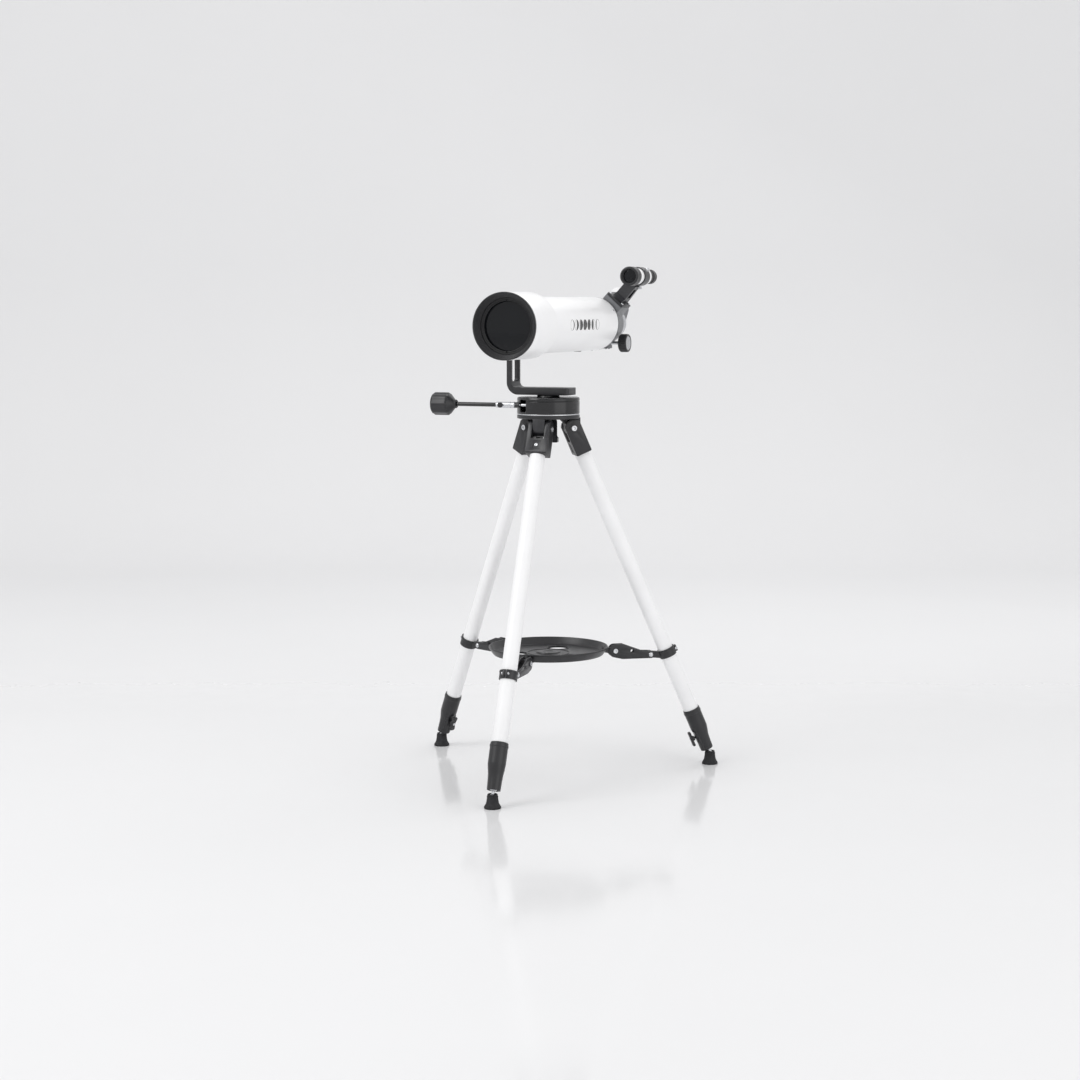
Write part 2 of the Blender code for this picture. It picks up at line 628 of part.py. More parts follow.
def spreader_arm(name, arm):
    """A channel with two cheeks, from the tray's pin at its own origin out to the collar's pin."""
    run = COLLAR_PIN_RADIUS - TRAY_PIN_RADIUS
    drop = COLLAR_PIN_HEIGHT - TRAY_PIN_HEIGHT
    floor = drop - EAR_R
    outline = [(-run * 0.75, drop + EAR_R + 0.5 * MM), (-13 * MM, ARM_END_R)]
    outline += [(-y, z) for y, z in arc(0, 0, ARM_END_R, 100, 250, 7)]
    outline += [(-12 * MM, floor)]
    outline += [(-y, z) for y, z in arc(run, drop, EAR_R, -90, 80, 6)]
    width = EAR_THICKNESS + 2 * GAP + 2 * ARM_PLATE
    body = flat(name + "_spreader_arm", outline, width, arm, BLACK, SIDEWAYS)
    web_top = floor + ARM_PLATE * 1.6
    web_near, web_far = 13 * MM, run - 17 * MM
    channel = [
        (0.03, -0.05), (-web_near, -0.05), (-web_near, web_top), (-web_far, web_top), (-web_far, -0.05),
        (-run - 0.03, -0.05), (-run - 0.03, 0.05), (0.03, 0.05),
    ]
    cut(body, flat(name + "_arm_channel", channel, EAR_THICKNESS + 2 * GAP, arm, at=SIDEWAYS))
    cut(body, cylinder(name + "_arm_hole", PIN_R + GAP, -0.02, 0.02, arm, at=ALONG_X, segments=8))
    for side in (1, -1):
        middle = side * (width / 2 + PIN_HEAD / 2 - 0.4 * MM)
        at = Matrix.Translation((middle, -run, drop)) @ ALONG_X
        half = PIN_HEAD / 2
        join(body, cylinder(f"{name}_rivet_{side}", PIN_HEAD_R, -half, half, arm, at=at, segments=8))


def accessory_tray(tripod):
    """A dished tray with three ears, a bolt pressed into each ear and three round holes."""
    floor_top = TRAY_TOP - TRAY_DEPTH
    floor_bottom = floor_top - TRAY_WALL
    profile = [
        (0, floor_top + 2.5 * MM), (TRAY_BOSS_R, floor_top + 2.5 * MM), (TRAY_BOSS_R, floor_top),
        (TRAY_R - 9 * MM, floor_top), (TRAY_R - TRAY_WALL, TRAY_TOP - 0.6 * MM),
        (TRAY_R - TRAY_WALL + 0.6 * MM, TRAY_TOP),
        (TRAY_R, TRAY_TOP), (TRAY_R, TRAY_TOP - 2 * MM), (TRAY_R - 8 * MM, floor_bottom), (0, floor_bottom),
    ]
    tray = turned("accessory_tray", profile, tripod, BLACK, steps=32)
    bolt_length = EAR_THICKNESS + 4 * GAP + 2 * ARM_PLATE
    for name, turn in zip(LEG_NAMES, LEG_TURNS):
        around = Matrix.Rotation(turn, 4, "Z")
        inner = -(TRAY_R - 6 * MM)
        outline = [(inner, TRAY_PIN_HEIGHT + EAR_R), (inner, TRAY_PIN_HEIGHT - 1.4 * MM)]
        outline += arc(-TRAY_PIN_RADIUS, TRAY_PIN_HEIGHT, EAR_R, 280, 100, 7)
        join(tray, flat(name + "_tray_ear", outline, EAR_THICKNESS, tripod, at=around @ SIDEWAYS))
        pin_at = around @ Matrix.Translation((0, -TRAY_PIN_RADIUS, TRAY_PIN_HEIGHT)) @ ALONG_X
        join(tray, bolt(name + "_tray_bolt", bolt_length, PIN_R, PIN_HEAD_R, PIN_HEAD, tripod, pin_at))
        hole_at = around @ Matrix.Translation((0, TRAY_HOLE_CIRCLE, floor_top))
        cut(tray, cylinder(name + "_tray_hole", TRAY_HOLE_R, -0.01, 0.01, tripod, at=hole_at, segments=16))


# ---------------------------------------------------------------- turning head

def friction_ring(head):
    top = RING_BOTTOM + RING_THICKNESS
    profile = [(RING_INNER_R, top), (PLATE_R, top), (PLATE_R, RING_BOTTOM), (RING_INNER_R, RING_BOTTOM)]
    turned("friction_ring", profile, head, SILVER, steps=32)


def azimuth_spindle(head):
    head_bottom = HOUSING_TOP + GAP
    collar_bottom = WHEEL_TOP + GAP
    profile = [
        (0, head_bottom + SPINDLE_HEAD), (SPINDLE_HEAD_R, head_bottom + SPINDLE_HEAD),
        (SPINDLE_HEAD_R, head_bottom),
        (SPINDLE_R, head_bottom), (SPINDLE_R, collar_bottom + SPINDLE_COLLAR),
        (SPINDLE_COLLAR_R, collar_bottom + SPINDLE_COLLAR), (SPINDLE_COLLAR_R, collar_bottom),
        (SPINDLE_R, collar_bottom), (SPINDLE_R, PLATE_BOTTOM - SPINDLE_END),
        (0, PLATE_BOTTOM - SPINDLE_END),
    ]
    turned("azimuth_spindle", profile, head, SILVER, steps=16)


def azimuth_lock_lever(head):
    top = PLATE_BOTTOM - GAP
    bore = SPINDLE_R + GAP
    profile = [(bore, top), (LEVER_NUT_R, top), (LEVER_NUT_R, top - LEVER_NUT), (bore, top - LEVER_NUT)]
    lever = turned("azimuth_lock_lever", profile, head, BLACK, steps=20)
    half = LEVER_WIDTH / 2
    end = PLATE_BOTTOM - LEVER_DROP
    outline = [
        (LEVER_NEAR, top - 1 * MM), (LEVER_NEAR, end), (LEVER_TIP, end + 1 * MM), (LEVER_TIP, end + 6 * MM),
        (LEVER_FAR, end + 9 * MM), (LEVER_FAR, top - 3 * MM), (LEVER_FAR - 2 * MM, top - 1 * MM),
    ]
    join(lever, flat("lever_blade", outline, 2 * half, head, at=UPRIGHT))
    cut(lever, cylinder("lever_bore", bore, top - LEVER_NUT - 30 * MM, top + 5 * MM, head, segments=20))


def worm_wheel(head):
    """The wheel's tooth spaces line up with the worm's thread on the -Y side."""
    outline = gear_outline(WHEEL_TEETH, WHEEL_R, WHEEL_ADDENDUM, WHEEL_ADDENDUM)
    wheel = flat("worm_wheel", outline, WHEEL_RIM, head, BRASS, Matrix.Translation((0, 0, WORM_HEIGHT)))
    bottom = PLATE_TOP + PLATE_BOSS + GAP
    join(wheel, cylinder("wheel_hub", WHEEL_HUB_R, bottom, WHEEL_TOP, head, segments=24))
    cut(wheel, cylinder("wheel_bore", SPINDLE_R + GAP, 0.5, 0.7, head, segments=20))


def azimuth_housing(head):
    bore = SPINDLE_R + GAP
    well = SPINDLE_HEAD_R + GAP
    inside = PLATE_R - HOUSING_WALL
    roof = HOUSING_TOP - HOUSING_ROOF
    profile = [(well, BOSS_TOP), (HOUSING_BOSS_R, BOSS_TOP), (HOUSING_BOSS_R, HOUSING_TOP)]
    profile += arc(PLATE_R - HOUSING_EDGE, HOUSING_TOP - HOUSING_EDGE, HOUSING_EDGE, 90, 0, 3)
    profile += [
        (PLATE_R, HOUSING_BOTTOM), (inside, HOUSING_BOTTOM), (inside, roof), (bore, roof),
        (bore, HOUSING_TOP), (well, HOUSING_TOP),
    ]
    drum = turned("azimuth_housing", profile, head, BLACK, steps=32)
    for side in (1, -1):
        near, far = sorted((side * BEARING_NEAR, side * BEARING_FAR))
        join(drum, box(
            f"bearing_block_{side}", (near, WORM_Y - 11.5 * MM, WORM_HEIGHT - 6 * MM),
            (far, WORM_Y + 6 * MM, roof + 1 * MM), head,
        ))
    worm_line = Matrix.Translation((0, WORM_Y, WORM_HEIGHT)) @ ALONG_X
    join(drum, cylinder("shaft_boss", 4.6 * MM, -SLEEVE_START + 1.2 * MM, -36.5 * MM, head, at=worm_line,
        segments=16))
    cut(drum, box(
        "worm_window", (-WINDOW_FAR, -0.06, WORM_HEIGHT - WINDOW_HEIGHT / 2 - 0.6 * MM),
        (-WINDOW_NEAR, WORM_Y + 4 * MM, min(WORM_HEIGHT + WINDOW_HEIGHT / 2 - 0.6 * MM, roof)), head,
    ))
    cut(drum, cylinder("shaft_bore", WORM_SHAFT_R + GAP, -0.05, BEARING_FAR + 1 * MM, head, at=worm_line,
        segments=20))
    for number in range(3):
        at = Matrix.Rotation(math.radians(120 * number), 4,
            "Z") @ Matrix.Translation((BRACKET_SCREW_CIRCLE, 0, 0))
        cut(drum, cylinder(f"screw_hole_{number}", BRACKET_SCREW_R + GAP, roof - 5 * MM, BOSS_TOP + 5 * MM,
            head, at=at, segments=8))


def bracket_stud_plate(head):
    """A ring under the housing's roof whose three studs hold the bracket down on the boss."""
    top = HOUSING_TOP - HOUSING_ROOF - GAP
    bottom = top - STUD_PLATE
    inner = SPINDLE_COLLAR_R + 1 * MM
    outer = BRACKET_SCREW_CIRCLE + BRACKET_SCREW_R + 2 * MM
    profile = [(inner, top), (outer, top), (outer, bottom), (inner, bottom)]
    plate = turned("bracket_stud_plate", profile, head, SILVER, steps=20)
    for number in range(3):
        at = Matrix.Rotation(math.radians(120 * number), 4,
            "Z") @ Matrix.Translation((BRACKET_SCREW_CIRCLE, 0, 0))
        end = BRACKET_BOTTOM + BRACKET_SCREW_DEPTH
        join(plate, cylinder(f"bracket_stud_{number}", BRACKET_SCREW_R, bottom + 1 * MM, end, head, at=at,
            segments=8))


def worm_shaft(worm):
    """A steel shaft with a right-handed worm thread, lofted as rings along its own Z, which lies along X.

    The thread is a pointed wave of the distance along the shaft in pitches, less the turn round the shaft.
    """
    sides = 12
    per_pitch = 6
    low, high = WORM_R - WORM_ROOT, WORM_R + WORM_CREST
    inner_end = -SLEEVE_WEB + GAP
    rings = [(inner_end, None), (-WORM_HALF, None)]
    count = int(round(2 * WORM_HALF / WORM_PITCH * per_pitch))
    rings += [(-WORM_HALF + 2 * WORM_HALF * i / count, "thread") for i in range(count + 1)]
    rings += [(WORM_HALF, None), (WORM_SHAFT_END, None)]
    shape = bmesh.new()
    loops = []
    for along, kind in rings:
        loop = []
        for side in range(sides):
            turn = side / sides
            radius = WORM_SHAFT_R
            if kind:
                phase = (along / WORM_PITCH - turn + 0.25) % 1.0
                radius = high - (high - low) * min(1.0, abs(phase - 0.5) / WORM_SHARE)
            angle = 2 * math.pi * turn
            loop.append(shape.verts.new((radius * math.cos(angle), radius * math.sin(angle), along)))
        loops.append(loop)
    for below, above in zip(loops, loops[1:]):
        for i in range(sides):
            j = (i + 1) % sides
            shape.faces.new((below[i], below[j], above[j], above[i]))
    shape.faces.new(list(reversed(loops[0])))
    shape.faces.new(loops[-1])
    mesh = bpy.data.meshes.new("worm_shaft")
    bmesh.ops.triangulate(shape, faces=shape.faces)
    shape.to_mesh(mesh)
    shape.free()
    smooth(mesh)
    # The shaft's own X turns to world -Z and its Y stays, so angle zero of the loft looks down.
    place("worm_shaft", mesh, worm, ALONG_X, SILVER)


def coupling_sleeve(worm):
    """A sleeve that joins the control rod to the worm shaft, with a solid web between the two sockets."""
    shaft_bore = WORM_SHAFT_R + GAP
    rod_bore = ROD_R + GAP
    web_right, web_left = -SLEEVE_WEB, -SLEEVE_WEB - 2.4 * MM
    profile = [
        (0, web_right), (shaft_bore, web_right), (shaft_bore, -SLEEVE_START),
        (SLEEVE_R - 0.7 * MM, -SLEEVE_START),
        (SLEEVE_R, -SLEEVE_START - 0.7 * MM), (SLEEVE_R, -SLEEVE_END + 0.7 * MM),
        (SLEEVE_R - 0.7 * MM, -SLEEVE_END),
        (rod_bore, -SLEEVE_END), (rod_bore, web_left), (0, web_left),
    ]
    sleeve = turned("coupling_sleeve", profile, worm, SILVER, ALONG_X, steps=20)
    at = Matrix.Translation((-SLEEVE_SCREW_AT, 0, 0)) @ Matrix.Rotation(math.pi / 2, 4, "X")
    cut(sleeve, cylinder("sleeve_hole", SLEEVE_SCREW_STEM_R + GAP, 1 * MM, 12 * MM, worm, at=at,
        segments=10))


def coupling_screw(worm):
    at = Matrix.Translation((-SLEEVE_SCREW_AT, 0, 0)) @ Matrix.Rotation(math.pi / 2, 4, "X")
    start = SLEEVE_R + GAP
    profile = [
        (0, start + 5 * MM), (SLEEVE_SCREW_R - 0.6 * MM, start + 5 * MM),
        (SLEEVE_SCREW_R, start + 4.4 * MM),
        (SLEEVE_SCREW_R, start + 0.6 * MM), (SLEEVE_SCREW_R - 0.6 * MM, start),
        (SLEEVE_SCREW_STEM_R, start),
        (SLEEVE_SCREW_STEM_R, ROD_R + GAP), (0, ROD_R + GAP),
    ]
    turned("coupling_screw", profile, worm, BLACK, at, steps=16)


def slow_motion_rod(worm):
    end = -SLEEVE_WEB - 2.4 * MM - GAP
    cylinder("slow_motion_rod", ROD_R, -CONTROL_KNOB_NECK - ROD_SOCKET, end, worm, BLACK, ALONG_X, 16)


def slow_motion_knob(worm):
    bore = ROD_R + GAP
    neck, shoulder, end = -CONTROL_KNOB_NECK, -CONTROL_KNOB_SHOULDER, -CONTROL_KNOB_END
    socket = neck - ROD_SOCKET - GAP
    edge = 2.4 * MM
    profile = [
        (0, socket), (bore, socket), (bore, neck), (CONTROL_KNOB_NECK_R - 1 * MM, neck),
        (CONTROL_KNOB_NECK_R, neck - 1 * MM), (CONTROL_KNOB_R - 1 * MM, shoulder),
        (CONTROL_KNOB_R, shoulder - 1.4 * MM),
        (CONTROL_KNOB_R, end + edge), (CONTROL_KNOB_R - edge, end), (0, end),
    ]
    turned("slow_motion_knob", profile, worm, BLACK, ALONG_X, steps=20)


# ---------------------------------------------------------------- mount bracket

def mount_bracket(head):
    """A cast L-shaped arm: the foot lies on the housing's boss, and the upright carries the tube at its side."""
    bottom = BRACKET_BOTTOM
    top = PIVOT_HEIGHT + BRACKET_TOP_R
    left, inner = -BRACKET_LEFT, -BRACKET_LEFT + BRACKET_UPRIGHT
    shelf = bottom + BRACKET_ARM
    outline = [(inner, top), (left, top)]
    outline += arc(left + BRACKET_OUTER_R, bottom + BRACKET_OUTER_R, BRACKET_OUTER_R, 180, 270, 8)
    outline += [(BRACKET_RIGHT - 1.5 * MM, bottom), (BRACKET_RIGHT, bottom + 1.5 * MM),
        (BRACKET_RIGHT, shelf - 1.5 * MM)]
    outline += [(BRACKET_RIGHT - 1.5 * MM, shelf)]
    outline += arc(inner + BRACKET_INNER_R, shelf + BRACKET_INNER_R, BRACKET_INNER_R, 270, 180, 6)
    bracket = flat("mount_bracket", outline, BRACKET_WIDTH, head, BLACK, UPRIGHT)
    half = BRACKET_WIDTH / 2
    slot_low = bottom + BRACKET_SLOT_FOOT
    slot_r = BRACKET_SLOT_WIDTH / 2
    slot = arc(0, slot_low + 5 * MM, 5 * MM, 180, 270, 4)
    slot = [(x - slot_r + 5 * MM, y) for x, y in slot]
    slot += [(-x, y) for x, y in reversed(slot)]
    slot += arc(0, slot_low + BRACKET_SLOT_HEIGHT - slot_r, slot_r, 0, 180, 11)
    cut(bracket, flat("bracket_slot", slot, 60 * MM, head, at=Matrix.Translation((left, 0, 0)) @ SIDEWAYS))
    corner = [(half + 10 * MM, PIVOT_HEIGHT)] + arc(0, PIVOT_HEIGHT, BRACKET_TOP_R, 0, 180, 17)
    corner += [(-half - 10 * MM, PIVOT_HEIGHT), (-half - 10 * MM, top + 10 * MM),
        (half + 10 * MM, top + 10 * MM)]
    cut(bracket, flat("bracket_top", corner, 60 * MM, head, at=Matrix.Translation((left, 0, 0)) @ SIDEWAYS))
    pivot = Matrix.Translation((0, 0, PIVOT_HEIGHT)) @ ALONG_X
    cut(bracket, cylinder("pivot_bore", PIVOT_BOLT_R + GAP, -0.09, -0.04, head, at=pivot))
    for number in range(3):
        at = Matrix.Rotation(math.radians(120 * number), 4,
            "Z") @ Matrix.Translation((BRACKET_SCREW_CIRCLE, 0, 0))
        depth = bottom + BRACKET_SCREW_DEPTH + GAP
        cut(bracket, cylinder(f"bracket_hole_{number}", BRACKET_SCREW_R + GAP, bottom - 5 * MM, depth, head,
            at=at, segments=8))


def altitude_bolt(tube):
    """A stud that is fixed in the saddle and carries the clamp knob on its outer end."""
    end = -BRACKET_LEFT - ALT_KNOB_LENGTH + 2.5 * MM
    cylinder("altitude_bolt", PIVOT_BOLT_R, end, -TUBE_R - 4 * MM, tube, SILVER, ALONG_X, 20)


def altitude_knob(tube):
    """A lobed clamp knob, which pinches the bracket between itself and the saddle."""
    start = -BRACKET_LEFT - GAP
    end = start - ALT_KNOB_LENGTH
    count = ALT_KNOB_LOBES * 6
    outline = []
    for i in range(count):
        angle = 2 * math.pi * i / count
        radius = ALT_KNOB_R - 1.5 * MM + 1.5 * MM * math.cos(ALT_KNOB_LOBES * angle)
        outline.append((radius * math.cos(angle), radius * math.sin(angle)))
    middle = Matrix.Translation(((start + end) / 2 - 1.5 * MM, 0, 0))
    knob = flat("altitude_knob", outline, ALT_KNOB_LENGTH - 3 * MM, tube, BLACK, middle @ SIDEWAYS)
    join(knob, cylinder("altitude_knob_neck", 9.5 * MM, end + 4 * MM, start, tube, at=ALONG_X))
    socket = -BRACKET_LEFT - ALT_KNOB_LENGTH + 2.5 * MM - GAP
    cut(knob, cylinder("altitude_knob_bore", PIVOT_BOLT_R + GAP, socket, start + 5 * MM, tube, at=ALONG_X))


def tube_saddle(tube):
    """A block that hugs the tube's side and turns on the bracket's inner face."""
    face = -BRACKET_LEFT + BRACKET_UPRIGHT + GAP
    half = SADDLE_LENGTH / 2
    saddle = box(
        "tube_saddle", (face + 3 * MM, -half, -SADDLE_HEIGHT / 2),
        (-TUBE_R + SADDLE_REACH - 2 * MM, half, SADDLE_HEIGHT / 2),
        tube, BLACK,
    )
    join(saddle, cylinder("saddle_boss", SADDLE_BOSS_R, face, face + 5 * MM, tube, at=ALONG_X))
    cut(saddle, cylinder("saddle_hollow", TUBE_R + GAP, -half - 5 * MM, half + 5 * MM, tube, at=ALONG_Y,
        segments=48))
    cut(saddle, cylinder("saddle_bore", PIVOT_BOLT_R + GAP, -0.09, -TUBE_R - 4 * MM + GAP, tube,
        at=ALONG_X))


# ---------------------------------------------------------------- optical tube

def main_tube(tube):
    inner = TUBE_R - TUBE_WALL
    profile = [(inner, TUBE_REAR), (TUBE_R, TUBE_REAR), (TUBE_R, TUBE_FRONT), (inner, TUBE_FRONT)]
    turned("main_tube", profile, tube, WHITE, ALONG_Y, steps=40)


def dew_shield(tube):
    inner = SHIELD_R - SHIELD_WALL
    front = RIM_FRONT + RIM_BAND + GAP
    profile = [
        (TUBE_R + GAP, SHIELD_REAR), (SHIELD_R - 0.8 * MM, SHIELD_REAR), (SHIELD_R, SHIELD_REAR - 0.8 * MM),
        (SHIELD_R, front), (inner, front), (inner, SHIELD_REAR - SHIELD_END_WALL),
        (TUBE_R + GAP, SHIELD_REAR - SHIELD_END_WALL),
    ]
    turned("dew_shield", profile, tube, WHITE, ALONG_Y, steps=40)


def front_rim(tube):
    sleeve = SHIELD_R - SHIELD_WALL - GAP
    back = CELL_FRONT - GAP
    profile = [
        (RIM_THROAT_R, back), (sleeve, back), (sleeve, RIM_FRONT + RIM_BAND),
        (SHIELD_R, RIM_FRONT + RIM_BAND),
        (SHIELD_R, RIM_FRONT + 0.6 * MM), (SHIELD_R - 0.6 * MM, RIM_FRONT), (RIM_MOUTH_R, RIM_FRONT),
        (RIM_THROAT_R, RIM_THROAT),
    ]
    turned("front_rim", profile, tube, BLACK, ALONG_Y, steps=40)


def lens_cell(tube):
    flange_r = SHIELD_R - SHIELD_WALL - GAP
    spigot_r = TUBE_R - TUBE_WALL - GAP
    bore = LENS_R + GAP
    flange_back = CELL_FRONT + CELL_FLANGE
    back = flange_back + CELL_SPIGOT
    profile = [
        (CELL_SEAT_R, back), (spigot_r, back), (spigot_r, flange_back), (flange_r, flange_back),
        (flange_r, CELL_FRONT),
        (bore, CELL_FRONT), (bore, back - CELL_SEAT), (CELL_SEAT_R, back - CELL_SEAT),
    ]
    turned("lens_cell", profile, tube, BLACKENED, ALONG_Y, steps=36)


def objective_lenses(tube):
    """A crown lens and a flint lens, face to face behind the retaining ring."""
    meet = LENS_FRONT + CROWN_THICKNESS
    back = CELL_FRONT + CELL_FLANGE + CELL_SPIGOT - CELL_SEAT - GAP
    dome = [(LENS_R * i / 4, LENS_FRONT - LENS_BULGE * (1 - (i / 4) ** 2)) for i in range(5)]
    crown = [(0, meet), (LENS_R, meet)] + list(reversed(dome))
    turned("crown_lens", crown, tube, GLASS, ALONG_Y, steps=28)
    flint = [(0, back), (LENS_R, back), (LENS_R, meet + GAP), (0, meet + GAP)]
    turned("flint_lens", flint, tube, GLASS, ALONG_Y, steps=28)


def retaining_ring(tube):
    outer = RIM_THROAT_R - GAP
    back = RIM_THROAT + LENS_RING_THICKNESS
    profile = [(LENS_SHOW_R, back), (outer, back), (outer, RIM_THROAT), (LENS_SHOW_R, RIM_THROAT)]
    turned("retaining_ring", profile, tube, BLACKENED, ALONG_Y, steps=36)


# ---------------------------------------------------------------- focuser

def focuser_body(tube):
    """A cast body with a plug in the tube, the drawtube's bore, the pinion's block and the finder's shoe."""
    bore = DRAWTUBE_R + GAP
    plug_r = TUBE_R - TUBE_WALL - GAP
    flange = TUBE_REAR + GAP
    cone = flange + FOCUSER_FLANGE
    profile = [
        (bore, FOCUSER_END), (FOCUSER_END_R - 1 * MM, FOCUSER_END), (FOCUSER_END_R, FOCUSER_END - 1 * MM),
        (FOCUSER_END_R + 1.2 * MM, FOCUSER_END - 12 * MM), (TUBE_R - 3 * MM, cone + 2 * MM), (TUBE_R, cone),
        (TUBE_R, flange), (plug_r, flange), (plug_r, TUBE_REAR - FOCUSER_PLUG),
        (plug_r - 4 * MM, TUBE_REAR - FOCUSER_PLUG),
        (plug_r - 4 * MM, flange), (bore, flange),
    ]
    body = turned("focuser_body", profile, tube, GREY, ALONG_Y, steps=28)
    block_half = FOCUS_BLOCK_LENGTH / 2
    join(body, box(
        "pinion_block", (-FOCUS_BLOCK_HALF, FOCUS_AT - block_half, -FOCUS_BLOCK_BOTTOM),
        (FOCUS_BLOCK_HALF, FOCUS_AT + block_half, -DRAWTUBE_R - 4 * MM), tube,
    ))
    lean = finder_frame()
    join(body, box("finder_shoe", (-SHOE_HALF, SHOE_FRONT, 32 * MM), (SHOE_HALF, SHOE_REAR, SHOE_TOP), tube,
        at=lean))
    cut(body, cylinder("drawtube_bore", bore, flange - 2 * MM, FOCUSER_END + 5 * MM, tube, at=ALONG_Y,
        segments=28))
    rack_half = RACK_WIDTH / 2 + GAP
    rack_low = -FOCUS_DROP + PINION_R - GEAR_ADDENDUM - GAP
    cut(body, box("rack_way", (-rack_half, 0.19, rack_low), (rack_half, 0.28, -20 * MM), tube))
    shaft = Matrix.Translation((0, FOCUS_AT, -FOCUS_DROP)) @ ALONG_X
    pinion_r = PINION_R + GEAR_ADDENDUM + GAP
    cut(body, cylinder("pinion_hollow", pinion_r, -PINION_HALF - GAP, PINION_HALF + GAP, tube, at=shaft))
    cut(body, cylinder("focus_bore", FOCUS_SHAFT_R + GAP, -0.05, 0.05, tube, at=shaft))
    lock = Matrix.Translation((0, LOCK_SCREW_AT, 0)) @ ALONG_X
    cut(body, cylinder("lock_hole", LOCK_SCREW_R + GAP, -0.06, -0.02, tube, at=lock, segments=12))


def drawtube(slide):
    inner = DRAWTUBE_R - DRAWTUBE_WALL
    mouth = NOSE_R + GAP
    profile = [
        (mouth, DRAWTUBE_END), (DRAWTUBE_COLLAR_R - 1 * MM, DRAWTUBE_END),
        (DRAWTUBE_COLLAR_R, DRAWTUBE_END - 1 * MM),
        (DRAWTUBE_COLLAR_R, DRAWTUBE_COLLAR), (DRAWTUBE_R, DRAWTUBE_COLLAR), (DRAWTUBE_R, DRAWTUBE_FRONT),
        (inner, DRAWTUBE_FRONT), (inner, DRAWTUBE_COLLAR), (mouth, DRAWTUBE_COLLAR),
    ]
    sleeve = turned("drawtube", profile, slide, ALUMINIUM, ALONG_Y, steps=28)
    line = -FOCUS_DROP + PINION_R
    tip, root = line - GEAR_ADDENDUM, line + GEAR_DEDENDUM
    half = RACK_PITCH * RACK_SHARE / 2
    teeth = int((DRAWTUBE_COLLAR - 2 * MM - DRAWTUBE_FRONT) / RACK_PITCH) - 2
    first = FOCUS_AT + RACK_PITCH / 2 - RACK_PITCH * int((FOCUS_AT - DRAWTUBE_FRONT - 2 * MM) / RACK_PITCH)
    last = first + teeth * RACK_PITCH
    outline = [(last, -DRAWTUBE_R + 0.9 * MM), (first - RACK_PITCH / 2, -DRAWTUBE_R + 0.9 * MM),
        (first - RACK_PITCH / 2, root)]
    for tooth in range(teeth):
        middle = first + tooth * RACK_PITCH
        outline += [(middle - half, root), (middle, tip), (middle + half, root)]
    outline.append((last, root))
    join(sleeve, flat("rack", outline, RACK_WIDTH, slide, at=SIDEWAYS))


def focus_shaft(shaft):
    """The pinion is cut on the middle of the shaft, with a tooth pointing straight up into a space of the rack."""
    outline = gear_outline(PINION_TEETH, PINION_R, GEAR_ADDENDUM, GEAR_DEDENDUM)
    quarter = Matrix.Rotation(math.pi / 2, 4, "Z")
    pinion = flat("focus_shaft", outline, 2 * PINION_HALF, shaft, SILVER, SIDEWAYS @ quarter)
    end = FOCUS_KNOB_FAR - 3 * MM
    join(pinion, cylinder("focus_axle", FOCUS_SHAFT_R, -end, end, shaft, at=ALONG_X, segments=16))


def focus_knobs(shaft):
    bore = FOCUS_SHAFT_R + GAP
    socket = FOCUS_KNOB_FAR - 3 * MM + GAP
    far, near = FOCUS_KNOB_FAR, FOCUS_KNOB_NEAR
    profile = [
        (0, far), (FOCUS_KNOB_R - 2.6 * MM, far), (FOCUS_KNOB_R, far - 2 * MM),
        (FOCUS_KNOB_R, near + 2 * MM),
        (FOCUS_KNOB_R - 2 * MM, near), (bore, near), (bore, socket), (0, socket),
    ]
    turned("right_focus_knob", profile, shaft, BLACK, ALONG_X, steps=20)
    turned("left_focus_knob", profile, shaft, BLACK, Matrix.Rotation(math.pi, 4, "Z") @ ALONG_X, steps=20)


def drawtube_lock_screw(tube):
    at = Matrix.Translation((0, LOCK_SCREW_AT, 0)) @ Matrix.Rotation(math.pi, 4, "Z") @ ALONG_X
    head = FOCUSER_END_R + 3.5 * MM
    profile = [
        (0, head + LOCK_SCREW_HEAD), (LOCK_SCREW_HEAD_R - 1 * MM, head + LOCK_SCREW_HEAD),
        (LOCK_SCREW_HEAD_R, head + LOCK_SCREW_HEAD - 1 * MM), (LOCK_SCREW_HEAD_R, head),
        (LOCK_SCREW_R, head),
        (LOCK_SCREW_R, DRAWTUBE_R + GAP), (0, DRAWTUBE_R + GAP),
    ]
    turned("drawtube_lock_screw", profile, tube, BLACK, at, steps=16)


# ---------------------------------------------------------------- diagonal and eyepiece

def bend_point(along, aside):
    """A (Y, Z) point of the diagonal, measured along the tilted light path from the bend, and above it."""
    slope = math.cos(math.pi / 4)
    return BEND_AT + slope * (along - aside), slope * (along + aside)


def prism_outline(grown):
    near = DRAWTUBE_END + 5 * MM - grown
    low = bend_point(16 * MM, -12 * MM - grown)
    return [
        (near, -8 * MM - grown), (low[0], -8 * MM - grown), bend_point(34 * MM + grown, -12 * MM - grown),
        bend_point(34 * MM + grown, 12 * MM + grown), (near, 20 * MM + grown),
    ]


